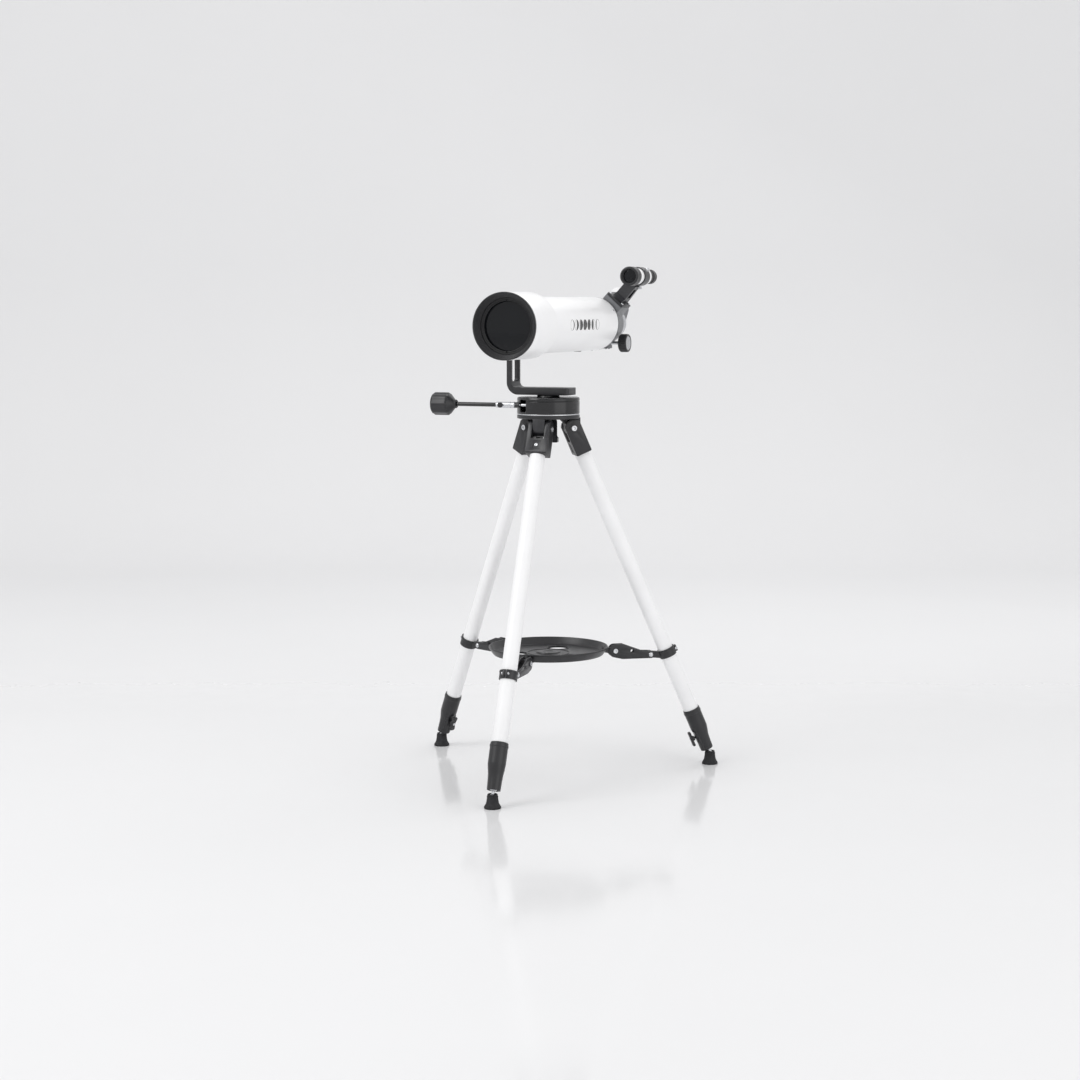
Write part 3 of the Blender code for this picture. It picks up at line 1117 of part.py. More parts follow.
def diagonal_housing(turn):
    front = DRAWTUBE_END + GAP
    depth = DIAGONAL_DEPTH
    reach = DIAGONAL_REACH
    outline = [
        (front, -depth + 2 * MM), (front + 3 * MM, -depth + 2 * MM), bend_point(reach - 2 * MM, -depth),
        bend_point(reach, -depth + 2 * MM), bend_point(reach, depth - 1 * MM),
        bend_point(reach - 1 * MM, depth),
        (front, bend_point((front - BEND_AT) / math.cos(math.pi / 4) + depth, depth)[1]),
    ]
    housing = flat("diagonal_housing", outline, 2 * DIAGONAL_HALF, turn, GREY, SIDEWAYS)
    join(housing, cylinder("diagonal_nose", NOSE_R, NOSE_FRONT, front + 1 * MM, turn, at=ALONG_Y,
        segments=32))
    cut(housing, flat("prism_seat", prism_outline(GAP), 2 * (PRISM_HALF + GAP), turn, at=SIDEWAYS))
    cut(housing, cylinder("nose_bore", LIGHT_R, NOSE_FRONT - 5 * MM, DRAWTUBE_END + 8 * MM, turn,
        at=ALONG_Y))
    tilted = eyepiece_line()
    cut(housing, cylinder("eyepiece_bore", EYEPIECE_BARREL_R + GAP, 30 * MM, 60 * MM, turn, at=tilted))


def eyepiece_line():
    """The frame whose Z runs along the tilted light path, from the bend."""
    return Matrix.Translation((0, BEND_AT, 0)) @ Matrix.Rotation(-math.pi / 4, 4, "X")


def prism(turn):
    flat("prism", prism_outline(0), 2 * PRISM_HALF, turn, GLASS, SIDEWAYS)


def eyepiece(turn):
    seat = DIAGONAL_REACH + GAP
    top = EYEPIECE_TOP
    light = LIGHT_R - 1.5 * MM
    start = DIAGONAL_REACH - EYEPIECE_BARREL + 2 * MM
    profile = [
        (0, top - EYEPIECE_CUP), (EYEPIECE_CUP_R, top - EYEPIECE_CUP), (EYEPIECE_CUP_R + 2 * MM, top),
        (EYEPIECE_R - 1 * MM, top), (EYEPIECE_R, top - 1 * MM), (EYEPIECE_R, seat),
        (EYEPIECE_BARREL_R, seat),
        (EYEPIECE_BARREL_R, start), (light, start), (light, start + 8 * MM), (0, start + 8 * MM),
    ]
    turned("eyepiece", profile, turn, WHITE, eyepiece_line(), steps=24)


# ---------------------------------------------------------------- finder

def finder_frame():
    """The frame whose Z points from the tube's axis to the finder's, and whose Y is the tube's."""
    return Matrix.Rotation(math.atan2(FINDER_X, FINDER_Z), 4, "Y")


def finder_bracket(tube):
    lean = finder_frame()
    distance = math.hypot(FINDER_X, FINDER_Z)
    base = SHOE_TOP + GAP
    bracket = box(
        "finder_bracket", (-SHOE_HALF, SHOE_FRONT, base), (SHOE_HALF, SHOE_REAR, base + STALK_BASE), tube,
        BLACK, lean,
    )
    ring_inner = FINDER_R + GAP
    ring_outer = ring_inner + FINDER_RING_WALL
    foot_z = base + STALK_BASE - 1 * MM
    outline = [
        (STALK_FRONT, distance - ring_inner - 0.6 * MM), (STALK_FRONT, base + 12 * MM),
        (SHOE_FRONT + 2 * MM, foot_z),
        (SHOE_REAR - 0.4 * MM, foot_z), (STALK_REAR, base + 12 * MM),
        (STALK_REAR - 6 * MM, distance - ring_inner - 0.6 * MM),
    ]
    join(bracket, flat("finder_stalk", outline, 2 * STALK_HALF, tube, at=lean @ SIDEWAYS))
    ring_at = Matrix.Translation((FINDER_X, 0, FINDER_Z)) @ ALONG_Y
    ring = [
        (ring_inner, FINDER_RING_REAR), (ring_outer, FINDER_RING_REAR), (ring_outer, FINDER_RING_FRONT),
        (ring_inner, FINDER_RING_FRONT),
    ]
    join(bracket, turned("finder_ring", ring, tube, at=ring_at, steps=24))
    cut(bracket, cylinder("finder_ring_bore", ring_inner, 0.2, 0.28, tube, at=ring_at, segments=24))


def finder_tube(tube):
    at = Matrix.Translation((FINDER_X, 0, FINDER_Z)) @ ALONG_Y
    rim = FINDER_R + 0.5 * MM
    profile = [
        (0, FINDER_REAR), (FINDER_R, FINDER_REAR), (FINDER_R, FINDER_BAND),
        (FINDER_BAND_R, FINDER_BAND - 1 * MM),
        (FINDER_BAND_R, FINDER_FRONT + 2 * MM), (rim, FINDER_FRONT), (rim - 2 * MM, FINDER_FRONT),
        (rim - 2 * MM, FINDER_FRONT + FINDER_RECESS), (0, FINDER_FRONT + FINDER_RECESS),
    ]
    turned("finder_tube", profile, tube, WHITE, at, steps=24)


def finder_eyepiece(focus):
    start = FINDER_REAR + GAP
    profile = [
        (0, FINDER_EYE_END - FINDER_RECESS), (FINDER_EYE_R - 4 * MM, FINDER_EYE_END - FINDER_RECESS),
        (FINDER_EYE_R - 3 * MM, FINDER_EYE_END), (FINDER_EYE_R - 1 * MM, FINDER_EYE_END),
        (FINDER_EYE_R, FINDER_EYE_END - 1 * MM), (FINDER_EYE_R, start), (0, start),
    ]
    turned("finder_eyepiece", profile, focus, BLACK, ALONG_Y, steps=20)


# ---------------------------------------------------------------- assembly

def build_leg(name, turn, tripod):
    around = Matrix.Rotation(turn, 4, "Z")
    lean = Matrix.Rotation(-LEG_LEAN, 4, "X")
    leg = empty(name + "_leg_hinge", tripod, around @ Matrix.Translation((0, -HINGE_RADIUS, HINGE_HEIGHT)) @ lean)
    leg_yoke(name, leg)
    upper_leg(name, leg)
    spreader_collar(name, leg)
    leg_clamp(name, leg)
    clamp_screw(name, leg)
    lower_leg(name, leg)
    ankle = empty(name + "_ankle", leg, Matrix.Translation((0, 0, -BALL_AT)) @ lean.inverted())
    foot(name, ankle)
    arm = empty(name + "_arm_hinge", tripod,
        around @ Matrix.Translation((0, -TRAY_PIN_RADIUS, TRAY_PIN_HEIGHT)))
    spreader_arm(name, arm)


def build():
    for old in list(bpy.data.objects):
        bpy.data.objects.remove(old)
    pan = empty("pan_axis", None, Matrix.Translation((PAN_X, PAN_Y, 0)))
    tripod = empty("tripod", pan, Matrix.Rotation(TRIPOD_TURN, 4, "Z"))
    tripod_head(tripod)
    for name, turn in zip(LEG_NAMES, LEG_TURNS):
        build_leg(name, turn, tripod)
    accessory_tray(tripod)

    friction_ring(pan)
    azimuth_spindle(pan)
    azimuth_lock_lever(pan)
    worm_wheel(pan)
    azimuth_housing(pan)
    bracket_stud_plate(pan)
    worm = empty("worm_axis", pan, Matrix.Translation((0, WORM_Y, WORM_HEIGHT)))
    worm_shaft(worm)
    coupling_sleeve(worm)
    coupling_screw(worm)
    slow_motion_rod(worm)
    slow_motion_knob(worm)
    mount_bracket(pan)

    tube = empty("altitude_axis", pan, Matrix.Translation((0, 0, PIVOT_HEIGHT)))
    altitude_bolt(tube)
    altitude_knob(tube)
    tube_saddle(tube)
    main_tube(tube)
    dew_shield(tube)
    front_rim(tube)
    lens_cell(tube)
    objective_lenses(tube)
    retaining_ring(tube)
    focuser_body(tube)
    drawtube(tube)
    shaft = empty("focus_axis", tube, Matrix.Translation((0, FOCUS_AT, -FOCUS_DROP)))
    focus_shaft(shaft)
    focus_knobs(shaft)
    drawtube_lock_screw(tube)
    diagonal_housing(tube)
    prism(tube)
    eyepiece(tube)
    finder_bracket(tube)
    finder_tube(tube)
    finder_eyepiece(empty("finder_axis", tube, Matrix.Translation((FINDER_X, 0, FINDER_Z))))


build()
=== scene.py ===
"""The looks of a small refractor telescope on a three-legged tripod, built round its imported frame.

Each operator makes one piece, or one group of like pieces, on the body that carries it, and the panel
lists them. Helpers take sizes in millimetres and places in metres.
"""

import json
import math

import bmesh
import bpy
import numpy as np
from mathutils import Matrix, Vector


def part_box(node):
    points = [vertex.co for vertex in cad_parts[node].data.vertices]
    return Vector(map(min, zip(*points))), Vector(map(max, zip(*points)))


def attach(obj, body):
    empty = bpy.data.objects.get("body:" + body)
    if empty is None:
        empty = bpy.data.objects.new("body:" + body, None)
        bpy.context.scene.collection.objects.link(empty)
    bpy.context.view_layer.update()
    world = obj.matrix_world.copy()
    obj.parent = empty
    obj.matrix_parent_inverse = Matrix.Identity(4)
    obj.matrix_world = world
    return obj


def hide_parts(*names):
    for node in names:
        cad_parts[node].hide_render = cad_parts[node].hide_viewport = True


bl_info = {
    "name": "Telescope on a tripod",
    "version": (1, 0, 0),
    "blender": (4, 5, 0),
    "location": "View3D > Sidebar > Telescope",
    "description": "Builds a small refractor telescope, its turning head and its tripod, piece by piece",
    "category": "Object",
}

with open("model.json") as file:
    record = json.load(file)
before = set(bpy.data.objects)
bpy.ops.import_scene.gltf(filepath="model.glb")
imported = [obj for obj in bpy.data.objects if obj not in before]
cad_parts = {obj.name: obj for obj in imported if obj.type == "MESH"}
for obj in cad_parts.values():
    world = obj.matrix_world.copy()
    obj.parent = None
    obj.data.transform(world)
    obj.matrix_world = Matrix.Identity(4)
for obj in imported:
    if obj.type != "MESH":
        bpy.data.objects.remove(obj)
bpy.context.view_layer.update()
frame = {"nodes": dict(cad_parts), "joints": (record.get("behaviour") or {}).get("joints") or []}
JOINTS = {joint["name"]: joint for joint in frame["joints"]}
MM = 0.001
LEGS = {"front": 0.0, "right": math.radians(120), "left": math.radians(-120)}

# ---- places, all read from the frame's joints ----
PAN_AT = Vector(JOINTS["azimuth_turn"]["pos_m"])
PAN = Matrix.Translation((PAN_AT.x, PAN_AT.y, 0))
FOLD = JOINTS["front_leg_fold"]
TRIPOD_TURN = math.atan2(FOLD["axis"][1], FOLD["axis"][0])
HINGE_Z = FOLD["pos_m"][2]
HINGE_OUT = math.hypot(FOLD["pos_m"][0] - PAN_AT.x, FOLD["pos_m"][1] - PAN_AT.y)
LEAN = math.acos(-JOINTS["front_leg_extend"]["axis"][2])
TRIPOD = PAN @ Matrix.Rotation(TRIPOD_TURN, 4, "Z")
PIVOT_Z = JOINTS["altitude_turn"]["pos_m"][2]
TUBE = PAN @ Matrix.Translation((0, 0, PIVOT_Z))
ALONG_X = Matrix.Rotation(math.pi / 2, 4, "Y")
ALONG_Y = Matrix.Rotation(-math.pi / 2, 4, "X")
SIDEWAYS = Matrix(((0, 0, 1, 0), (1, 0, 0, 0), (0, 1, 0, 0), (0, 0, 0, 1)))
UPRIGHT = Matrix.Rotation(math.pi / 2, 4, "X")
FINDER_PLACE = Vector(JOINTS["finder_focus"]["pos_m"]) - TUBE.translation
WORM_PLACE = Vector(JOINTS["worm_turn"]["pos_m"])


def at(x=0.0, y=0.0, z=0.0):
    """A place in millimetres as a matrix."""
    return Matrix.Translation((x * MM, y * MM, z * MM))


def turn(degrees, axis="Z"):
    return Matrix.Rotation(math.radians(degrees), 4, axis)


def leg_frame(name):
    """The leg's hinge, with X along the hinge bolt, -Y outwards and Z up the leg."""
    hinge = Matrix.Translation((0, -HINGE_OUT, HINGE_Z))
    return TRIPOD @ Matrix.Rotation(LEGS[name], 4, "Z") @ hinge @ Matrix.Rotation(-LEAN, 4, "X")


def height(node, top=True):
    """The top or the bottom of a frame node, in millimetres."""
    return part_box(node)[1 if top else 0].z / MM


# ---------------------------------------------------------------- surfaces

def cells(rows, columns, ring_rows, ring_columns):
    """The cells of a grid as corner numbers: (i, j), (i, j+1), (i+1, j+1) and (i+1, j), round again at
    a ring's end."""
    i = np.arange(rows if ring_rows else rows - 1)
    j = np.arange(columns if ring_columns else columns - 1)
    a, b = np.meshgrid(i, j, indexing="ij")
    c, d = (a + 1) % rows, (b + 1) % columns
    corners = np.stack([a * columns + b, a * columns + d, c * columns + d, c * columns + b], -1)
    return corners.reshape(-1, 4)


def grid(points, ring_rows=False, ring_columns=False):
    """A surface P(u, v) sampled as rows and columns of points."""
    rows, columns = points.shape[:2]
    return points.reshape(-1, 3), cells(rows, columns, ring_rows, ring_columns).tolist()


def softened(profile, radius=0.5, steps=3):
    """A closed profile with its corners eased.

    Each corner P becomes (1-t)^2 A + 2t(1-t) P + t^2 B, where A and B lie on the two edges at the
    radius from P, or at 45% of the shorter edge. A point on the axis, at r = 0, stays sharp so that the
    surface closes there.
    """
    p = np.asarray(profile, float)
    back, ahead = np.roll(p, 1, 0) - p, np.roll(p, -1, 0) - p
    back_long = np.maximum(np.linalg.norm(back, axis=1, keepdims=True), 1e-9)
    ahead_long = np.maximum(np.linalg.norm(ahead, axis=1, keepdims=True), 1e-9)
    reach = np.minimum(radius, 0.45 * np.minimum(back_long, ahead_long)) * (p[:, :1] > 1e-6)
    a, b = p + back / back_long * reach, p + ahead / ahead_long * reach
    t = np.linspace(0, 1, steps + 1)[None, :, None]
    curve = (1 - t) ** 2 * a[:, None] + 2 * t * (1 - t) * p[:, None] + t**2 * b[:, None]
    return curve.reshape(-1, 2)


def lathe(profile, steps=96, radius=0.5, shaped=None, rows=None):
    """A closed (r, z) profile turned about Z: P(u, v) = (r(u) cos v, r(u) sin v, z(u)).

    shaped(r, v, z) may change the radius over the grid, as for flutes, knurls and hexagons.
    rows, when given, splits long edges so that each is at most that long.
    """
    p = softened(profile, radius) if radius else np.asarray(profile, float)
    if rows:
        after = np.roll(p, -1, 0)
        parts = np.maximum(1, np.ceil(np.linalg.norm(after - p, axis=1) / rows)).astype(int)
        start = np.repeat(np.arange(len(p)), parts)
        share = (np.arange(len(start)) - np.repeat(np.cumsum(parts) - parts, parts)) / np.repeat(parts,
            parts)
        p = p[start] + (after[start] - p[start]) * share[:, None]
    v = 2 * math.pi * np.arange(steps) / steps
    r, v = np.meshgrid(p[:, 0], v, indexing="ij")
    z = np.broadcast_to(p[:, 1:2], r.shape)
    if shaped:
        r = np.where(r > 1e-9, shaped(r, v, z), r)
    return grid(np.stack([r * np.cos(v), r * np.sin(v), z], -1), True, True)


def slab(outline, half, edge=0.0, steps=3):
    """A flat outline given thickness 2 x half, with its two rims rolled over by a quarter circle of
    radius edge.

    At roll angle v a rim's ring is the outline moved inwards by edge (1 - cos v) and up to half - edge
    (1 - sin v).
    """
    p = np.asarray(outline, float)
    after = np.roll(p, -1, 0)
    if np.sum(p[:, 0] * after[:, 1] - after[:, 0] * p[:, 1]) < 0:
        p = p[::-1]
    ahead, back = np.roll(p, -1, 0) - p, p - np.roll(p, 1, 0)
    n1 = np.stack([-back[:, 1], back[:, 0]], -1) / np.maximum(np.linalg.norm(back, axis=1, keepdims=True),
        1e-9)
    n2 = np.stack([-ahead[:, 1], ahead[:, 0]],
        -1) / np.maximum(np.linalg.norm(ahead, axis=1, keepdims=True), 1e-9)
    inwards = (n1 + n2) / np.maximum(1 + np.sum(n1 * n2, 1, keepdims=True), 0.35)
    v = np.linspace(math.pi / 2, 0, steps + 1) if edge else np.zeros(1)
    inset, rise = edge * (1 - np.cos(v)), half - edge * (1 - np.sin(v))
    inset, rise = np.concatenate([inset, inset[::-1]]), np.concatenate([-rise, rise[::-1]])
    rings = np.empty((len(rise), len(p), 3))
    rings[..., :2] = p[None] + inwards[None] * inset[:, None, None]
    rings[..., 2] = rise[:, None]
    points, faces = grid(rings, False, True)
    count = len(p)
    caps = [list(range(count))[::-1], list(range(len(points) - count, len(points)))]
    return points, faces + caps


def block(low, high, edge=0.0, corner=0.0):
    """A rectangle in X and Y with eased corners, given thickness from the low Z to the high Z."""
    (x0, y0, z0), (x1, y1, z1) = low, high
    outline = [(x0, y0), (x1, y0), (x1, y1), (x0, y1)]
    centred = np.asarray(outline) + 1000
    if corner:
        centred = softened(centred, corner, 4)
    points, faces = slab(centred - 1000, (z1 - z0) / 2, edge)
    return points + [0, 0, (z0 + z1) / 2], faces


def arc(x, y, radius, start, end, count):
    v = np.radians(np.linspace(start, end, count))
    return np.stack([x + radius * np.cos(v), y + radius * np.sin(v)], -1).tolist()


def joined(*shapes):
    """Several shapes as one list of points and faces, each with its own place."""
    points, faces, start = [], [], 0
    for (shape_points, shape_faces), place in shapes:
        points.append(placed(shape_points, place))
        faces += [[corner + start for corner in face] for face in shape_faces]
        start += len(shape_points)
    return np.concatenate(points) / MM, faces


def placed(points, place):
    """Points in millimetres, moved to their place in metres."""
    m = np.array(place, float)
    return (points * MM) @ m[:3, :3].T + m[:3, 3]


def mesh_of(name, shape, place):
    """A mesh with its doubles merged and then its faces turned outwards."""
    points, faces = shape
    mesh = bpy.data.meshes.new(name)
    mesh.from_pydata(placed(points, place), [], faces)
    work = bmesh.new()
    work.from_mesh(mesh)
    bmesh.ops.remove_doubles(work, verts=work.verts, dist=1e-6)
    bmesh.ops.dissolve_degenerate(work, edges=work.edges, dist=1e-7)
    bmesh.ops.recalc_face_normals(work, faces=work.faces)
    work.to_mesh(mesh)
    work.free()
    return mesh


def piece(name, shape, place, material, body, nodes=(), add=(), cut=(), bevel=0.0, sharp=38,
        carry=None):
    """One finished piece: its shape, other shapes joined or cut, eased edges, finish and the body that
    it rides on.

    carry moves the finished shape, so that like pieces are worked in one frame and then set in their
    places.
    """
    item = bpy.data.objects.new(name, mesh_of(name, shape, place))
    bpy.context.scene.collection.objects.link(item)
    tools = []
    for kind, others in (("UNION", add), ("DIFFERENCE", cut)):
        for other, other_place in others:
            tool = bpy.data.objects.new(name + "_tool", mesh_of(name + "_tool", other, other_place))
            bpy.context.scene.collection.objects.link(tool)
            step = item.modifiers.new("shape", "BOOLEAN")
            step.operation = kind
            step.solver = "EXACT"
            step.object = tool
            tools.append(tool)
    if bevel:
        step = item.modifiers.new("eased_edges", "BEVEL")
        step.width = bevel * MM
        step.segments = 2
        step.limit_method = "ANGLE"
        step.angle_limit = math.radians(40)
        step.use_clamp_overlap = True
    if item.modifiers:
        whole = bpy.data.meshes.new_from_object(item.evaluated_get(bpy.context.evaluated_depsgraph_get()))
        item.modifiers.clear()
        item.data = whole
        whole.name = name
    for tool in tools:
        bpy.data.objects.remove(tool)
    if carry:
        item.data.transform(carry)
    item.data.polygons.foreach_set("use_smooth", np.ones(len(item.data.polygons), bool))
    item.data.set_sharp_from_angle(angle=math.radians(sharp))
    item.data.materials.clear()
    item.data.materials.append(bpy.data.materials[material])
    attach(item, body)
    if nodes:
        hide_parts(*nodes)
    return item


def dress(node, material):
    """A frame node that keeps its shape gets its finish."""
    mesh = frame["nodes"][node].data
    mesh.materials.clear()
    mesh.materials.append(bpy.data.materials[material])


# ---------------------------------------------------------------- small shapes that return

def hexed(size, limit):
    """A radius rule that makes a hexagon of the points inside the limit: r / cos(v mod 60 deg - 30
    deg), scaled."""
    def rule(r, v, z):
        flat = np.cos(np.mod(v, math.pi / 3) - math.pi / 6)
        return np.where(r <= limit, np.minimum(r, size) * math.cos(math.pi / 6) / flat, r)
    return rule


def socket_screw(r, tall, start=0.0, deep=0.55):
    """A round head with a hexagon socket in its top, standing on Z from the start."""
    hole = r * 0.5
    top = start + tall
    floor = top - tall * deep
    profile = [(0, floor), (hole, floor), (hole, top), (r, top), (r, start), (0, start)]
    return lathe(profile, 36, min(0.35, tall * 0.2), hexed(hole, hole * 1.02))


def fluted(count, depth, low, high):
    """A radius rule: r - depth (1 - cos(count v)) / 2 between the low and high Z, for outer points only."""
    def rule(r, v, z):
        inside = (z > low) & (z < high) & (r > depth * 3)
        return np.where(inside, r - depth * (0.5 - 0.5 * np.cos(count * v)), r)
    return rule


def knurled_head(r, tall, start=0.0, count=24, depth=0.7, steps=144):
    """A thumb screw's head with upright flutes and plain eased rims."""
    top = start + tall
    profile = [(0, top), (r - 0.6, top), (r, top - 0.6), (r, start + 0.6), (r - 0.6, start), (0, start)]
    return lathe(profile, steps, 0.3, fluted(count, depth, start + 0.3, top - 0.3), rows=1.5)


def gear(teeth, pitch_r, addendum, dedendum, top_share=0.16, foot_share=0.36):
    """A gear's outline: four points to a tooth, at the root, the two tips and the root, in shares of
    the pitch."""
    middle = 2 * math.pi * np.arange(teeth) / teeth
    step = 2 * math.pi / teeth
    shift = np.array([-foot_share, -top_share, top_share, foot_share]) * step
    v = (middle[:, None] + shift[None]).reshape(-1)
    r = np.tile([pitch_r - dedendum, pitch_r + addendum, pitch_r + addendum, pitch_r - dedendum], teeth)
    return np.stack([r * np.cos(v), r * np.sin(v)], -1)


# ---------------------------------------------------------------- finishes

def linear(code):
    """An sRGB hex colour as linear red, green, blue and alpha."""
    c = np.array([int(code[i:i + 2], 16) for i in (1, 3, 5)]) / 255
    c = np.where(c <= 0.04045, c / 12.92, ((c + 0.055) / 1.055) ** 2.4)
    return (*c.tolist(), 1.0)


def node(tree, kind, links=(), **settings):
    """Adds a node: links are (input, value or output socket) pairs, settings are the node's own
    properties."""
    new = tree.nodes.new("ShaderNode" + kind)
    for key, value in settings.items():
        setattr(new, key, value)
    for key, value in dict(links).items():
        if isinstance(value, bpy.types.NodeSocket):
            tree.links.new(value, new.inputs[key])
        else:
            new.inputs[key].default_value = value
    return new


def begin(name):
    """A new material with its Principled shader, and where each point is, in metres.

    The frame brings plain colours under the same names, so those step aside first.
    """
    if name in bpy.data.materials:
        bpy.data.materials[name].name = name + "_plain"
    material = bpy.data.materials.new(name)
    material.use_nodes = True
    tree = material.node_tree
    shader = tree.nodes["Principled BSDF"]
    place = node(tree, "TexCoord").outputs["Object"]
    return tree, shader, place


def noise(tree, place, size_mm, detail=3.0, rough=0.55, stretch=None):
    """Noise whose blobs are about the given size; stretch squeezes the axes for drawn or turned marks."""
    if stretch:
        place = node(tree, "Mapping", {"Vector": place, "Scale": stretch}).outputs["Vector"]
    made = {"Vector": place, "Scale": 1 / (size_mm * MM), "Detail": detail, "Roughness": rough}
    return node(tree, "TexNoise", made).outputs["Fac"]


def spread(tree, fac, low, high, start=0.3, end=0.7):
    """Maps the middle of a pattern's range onto low to high."""
    made = {"Value": fac, "From Min": start, "From Max": end, "To Min": low, "To Max": high}
    return node(tree, "MapRange", made).outputs["Result"]


def tinted(tree, fac, first, second):
    """A colour between two hex colours by a pattern from 0 to 1."""
    mix = node(tree, "Mix", data_type="RGBA")
    tree.links.new(fac, mix.inputs[0])
    mix.inputs[6].default_value = first
    mix.inputs[7].default_value = second
    return mix.outputs[2]


def raised(tree, shader, pattern, depth_mm, strength=1.0):
    """Bump of a real depth on the shader's normal."""
    made = {"Height": pattern, "Distance": depth_mm * MM, "Strength": strength}
    tree.links.new(node(tree, "Bump", made).outputs["Normal"], shader.inputs["Normal"])


def shade(colour, factor):
    return (colour[0] * factor, colour[1] * factor, colour[2] * factor, 1.0)


def enamel(name, colour):
    """Baked gloss enamel, sprayed: a clear even white with a soft orange peel and a hard wet shine."""
    tree, shader, place = begin(name)
    # Peel is about 2 mm from crest to crest on sprayed metal and a few microns deep.
    peel = noise(tree, place, 2.2, 2.0)
    cloud = spread(tree, noise(tree, place, 60, 2.0), 0, 1)
    tree.links.new(tinted(tree, cloud, colour, shade(colour, 0.965)), shader.inputs["Base Color"])
    tree.links.new(spread(tree, noise(tree, place, 18, 4.0), 0.34, 0.44), shader.inputs["Roughness"])
    shader.inputs["IOR"].default_value = 1.5
    shader.inputs["Coat Weight"].default_value = 0.18
    shader.inputs["Coat Roughness"].default_value = 0.16
    raised(tree, shader, peel, 0.012)


def moulded(name, colour, low, high, grain_mm, depth_mm):
    """Injection-moulded ABS: deep black with a fine spark-eroded grain, and convex edges painted a little
    paler, partly as rub wear and partly as a painted highlight that stands in for shine."""
    tree, shader, place = begin(name)
    # Real spark-eroded grain is about 0.1 mm; it is drawn coarser so that it shows.
    cell = node(tree, "TexVoronoi", {"Vector": place, "Scale": 1 / (grain_mm * MM)}, feature="SMOOTH_F1")
    fine = noise(tree, place, grain_mm * 1.4, 4.0)
    grain = node(tree, "Math", {0: cell.outputs["Distance"], 1: fine}, operation="MULTIPLY").outputs[0]
    # Pointiness picks out convex edges, which are painted paler in patches: partly rub wear, partly a
    # painted highlight.
    edge = spread(tree, node(tree, "NewGeometry").outputs["Pointiness"], 0, 1, 0.515, 0.58)
    wear_and_highlight = node(tree, "Math", {0: edge, 1: spread(tree, noise(tree, place, 7, 5.0), 0.1, 1)},
        operation="MULTIPLY")
    tree.links.new(tinted(tree, wear_and_highlight.outputs[0], colour, shade(colour, 2.1)), shader.inputs["Base Color"])
    dull = spread(tree, noise(tree, place, 25, 5.0), low, high)
    tree.links.new(dull, shader.inputs["Roughness"])
    shader.inputs["IOR"].default_value = 1.53
    raised(tree, shader, grain, depth_mm, 0.8)


def rubber(name, colour):
    """Moulded rubber: matt near-black with a dusting of grey in its low spots."""
    tree, shader, place = begin(name)
    dust = spread(tree, noise(tree, place, 9, 6.0, 0.65), 0, 1, 0.45, 0.8)
    tree.links.new(tinted(tree, dust, colour, shade(colour, 2.6)), shader.inputs["Base Color"])
    tree.links.new(spread(tree, noise(tree, place, 3, 4.0), 0.62, 0.85), shader.inputs["Roughness"])
    shader.inputs["IOR"].default_value = 1.52
    raised(tree, shader, noise(tree, place, 0.6, 5.0), 0.06)


def metal(name, colour, low, high, marks_mm, stretch, depth_mm=0.004):
    """Bare metal with the fine drawn or turned marks of its making, along the axes that stretch
    squeezes least."""
    tree, shader, place = begin(name)
    # Tool marks are some 0.05 mm apart; they are drawn wider so that they show.
    marks = noise(tree, place, marks_mm, 3.0, 0.6, stretch)
    smudge = noise(tree, place, 14, 4.0)
    tree.links.new(tinted(tree, spread(tree, marks, 0, 1), colour, shade(colour, 0.86)),
        shader.inputs["Base Color"])
    both = node(tree, "Math", {0: marks, 1: smudge}, operation="ADD").outputs[0]
    tree.links.new(spread(tree, both, low, high, 0.7, 1.3), shader.inputs["Roughness"])
    shader.inputs["Metallic"].default_value = 1.0
    raised(tree, shader, marks, depth_mm, 0.6)


def cast_metal(name, colour):
    """Die-cast alloy under a satin grey coat: a faint flow mottle and a fine sandy skin."""
    tree, shader, place = begin(name)
    mottle = spread(tree, noise(tree, place, 11, 5.0, 0.6), 0, 1)
    tree.links.new(tinted(tree, mottle, colour, shade(colour, 0.8)), shader.inputs["Base Color"])
    tree.links.new(spread(tree, noise(tree, place, 2.5, 5.0), 0.3, 0.46), shader.inputs["Roughness"])
    shader.inputs["Metallic"].default_value = 0.35
    raised(tree, shader, noise(tree, place, 0.7, 4.0), 0.03)


def anodised(name, colour):
    """Matt black anodised aluminium, as inside a lens cell: soft velvety black with faint turned rings."""
    tree, shader, place = begin(name)
    rings = noise(tree, place, 0.9, 2.0, 0.5, (0.05, 1.0, 0.05))
    tree.links.new(tinted(tree, spread(tree, rings, 0, 1), colour, shade(colour, 1.7)),
        shader.inputs["Base Color"])
    tree.links.new(spread(tree, noise(tree, place, 12, 4.0), 0.48, 0.62), shader.inputs["Roughness"])
    raised(tree, shader, rings, 0.008)


def lens_glass(name, tint):
    """Crown glass with a thin coating: clear, sharp and dark, with the faintest bloom of breath on it."""
    tree, shader, place = begin(name)
    shader.inputs["Base Color"].default_value = tint
    bloom = spread(tree, noise(tree, place, 16, 3.0), 0.02, 0.06)
    tree.links.new(bloom, shader.inputs["Roughness"])
    shader.inputs["IOR"].default_value = 1.52
    shader.inputs["Transmission Weight"].default_value = 0.3
    # The coating quells most of the glass's own shine.
    shader.inputs["Specular IOR Level"].default_value = 0.14


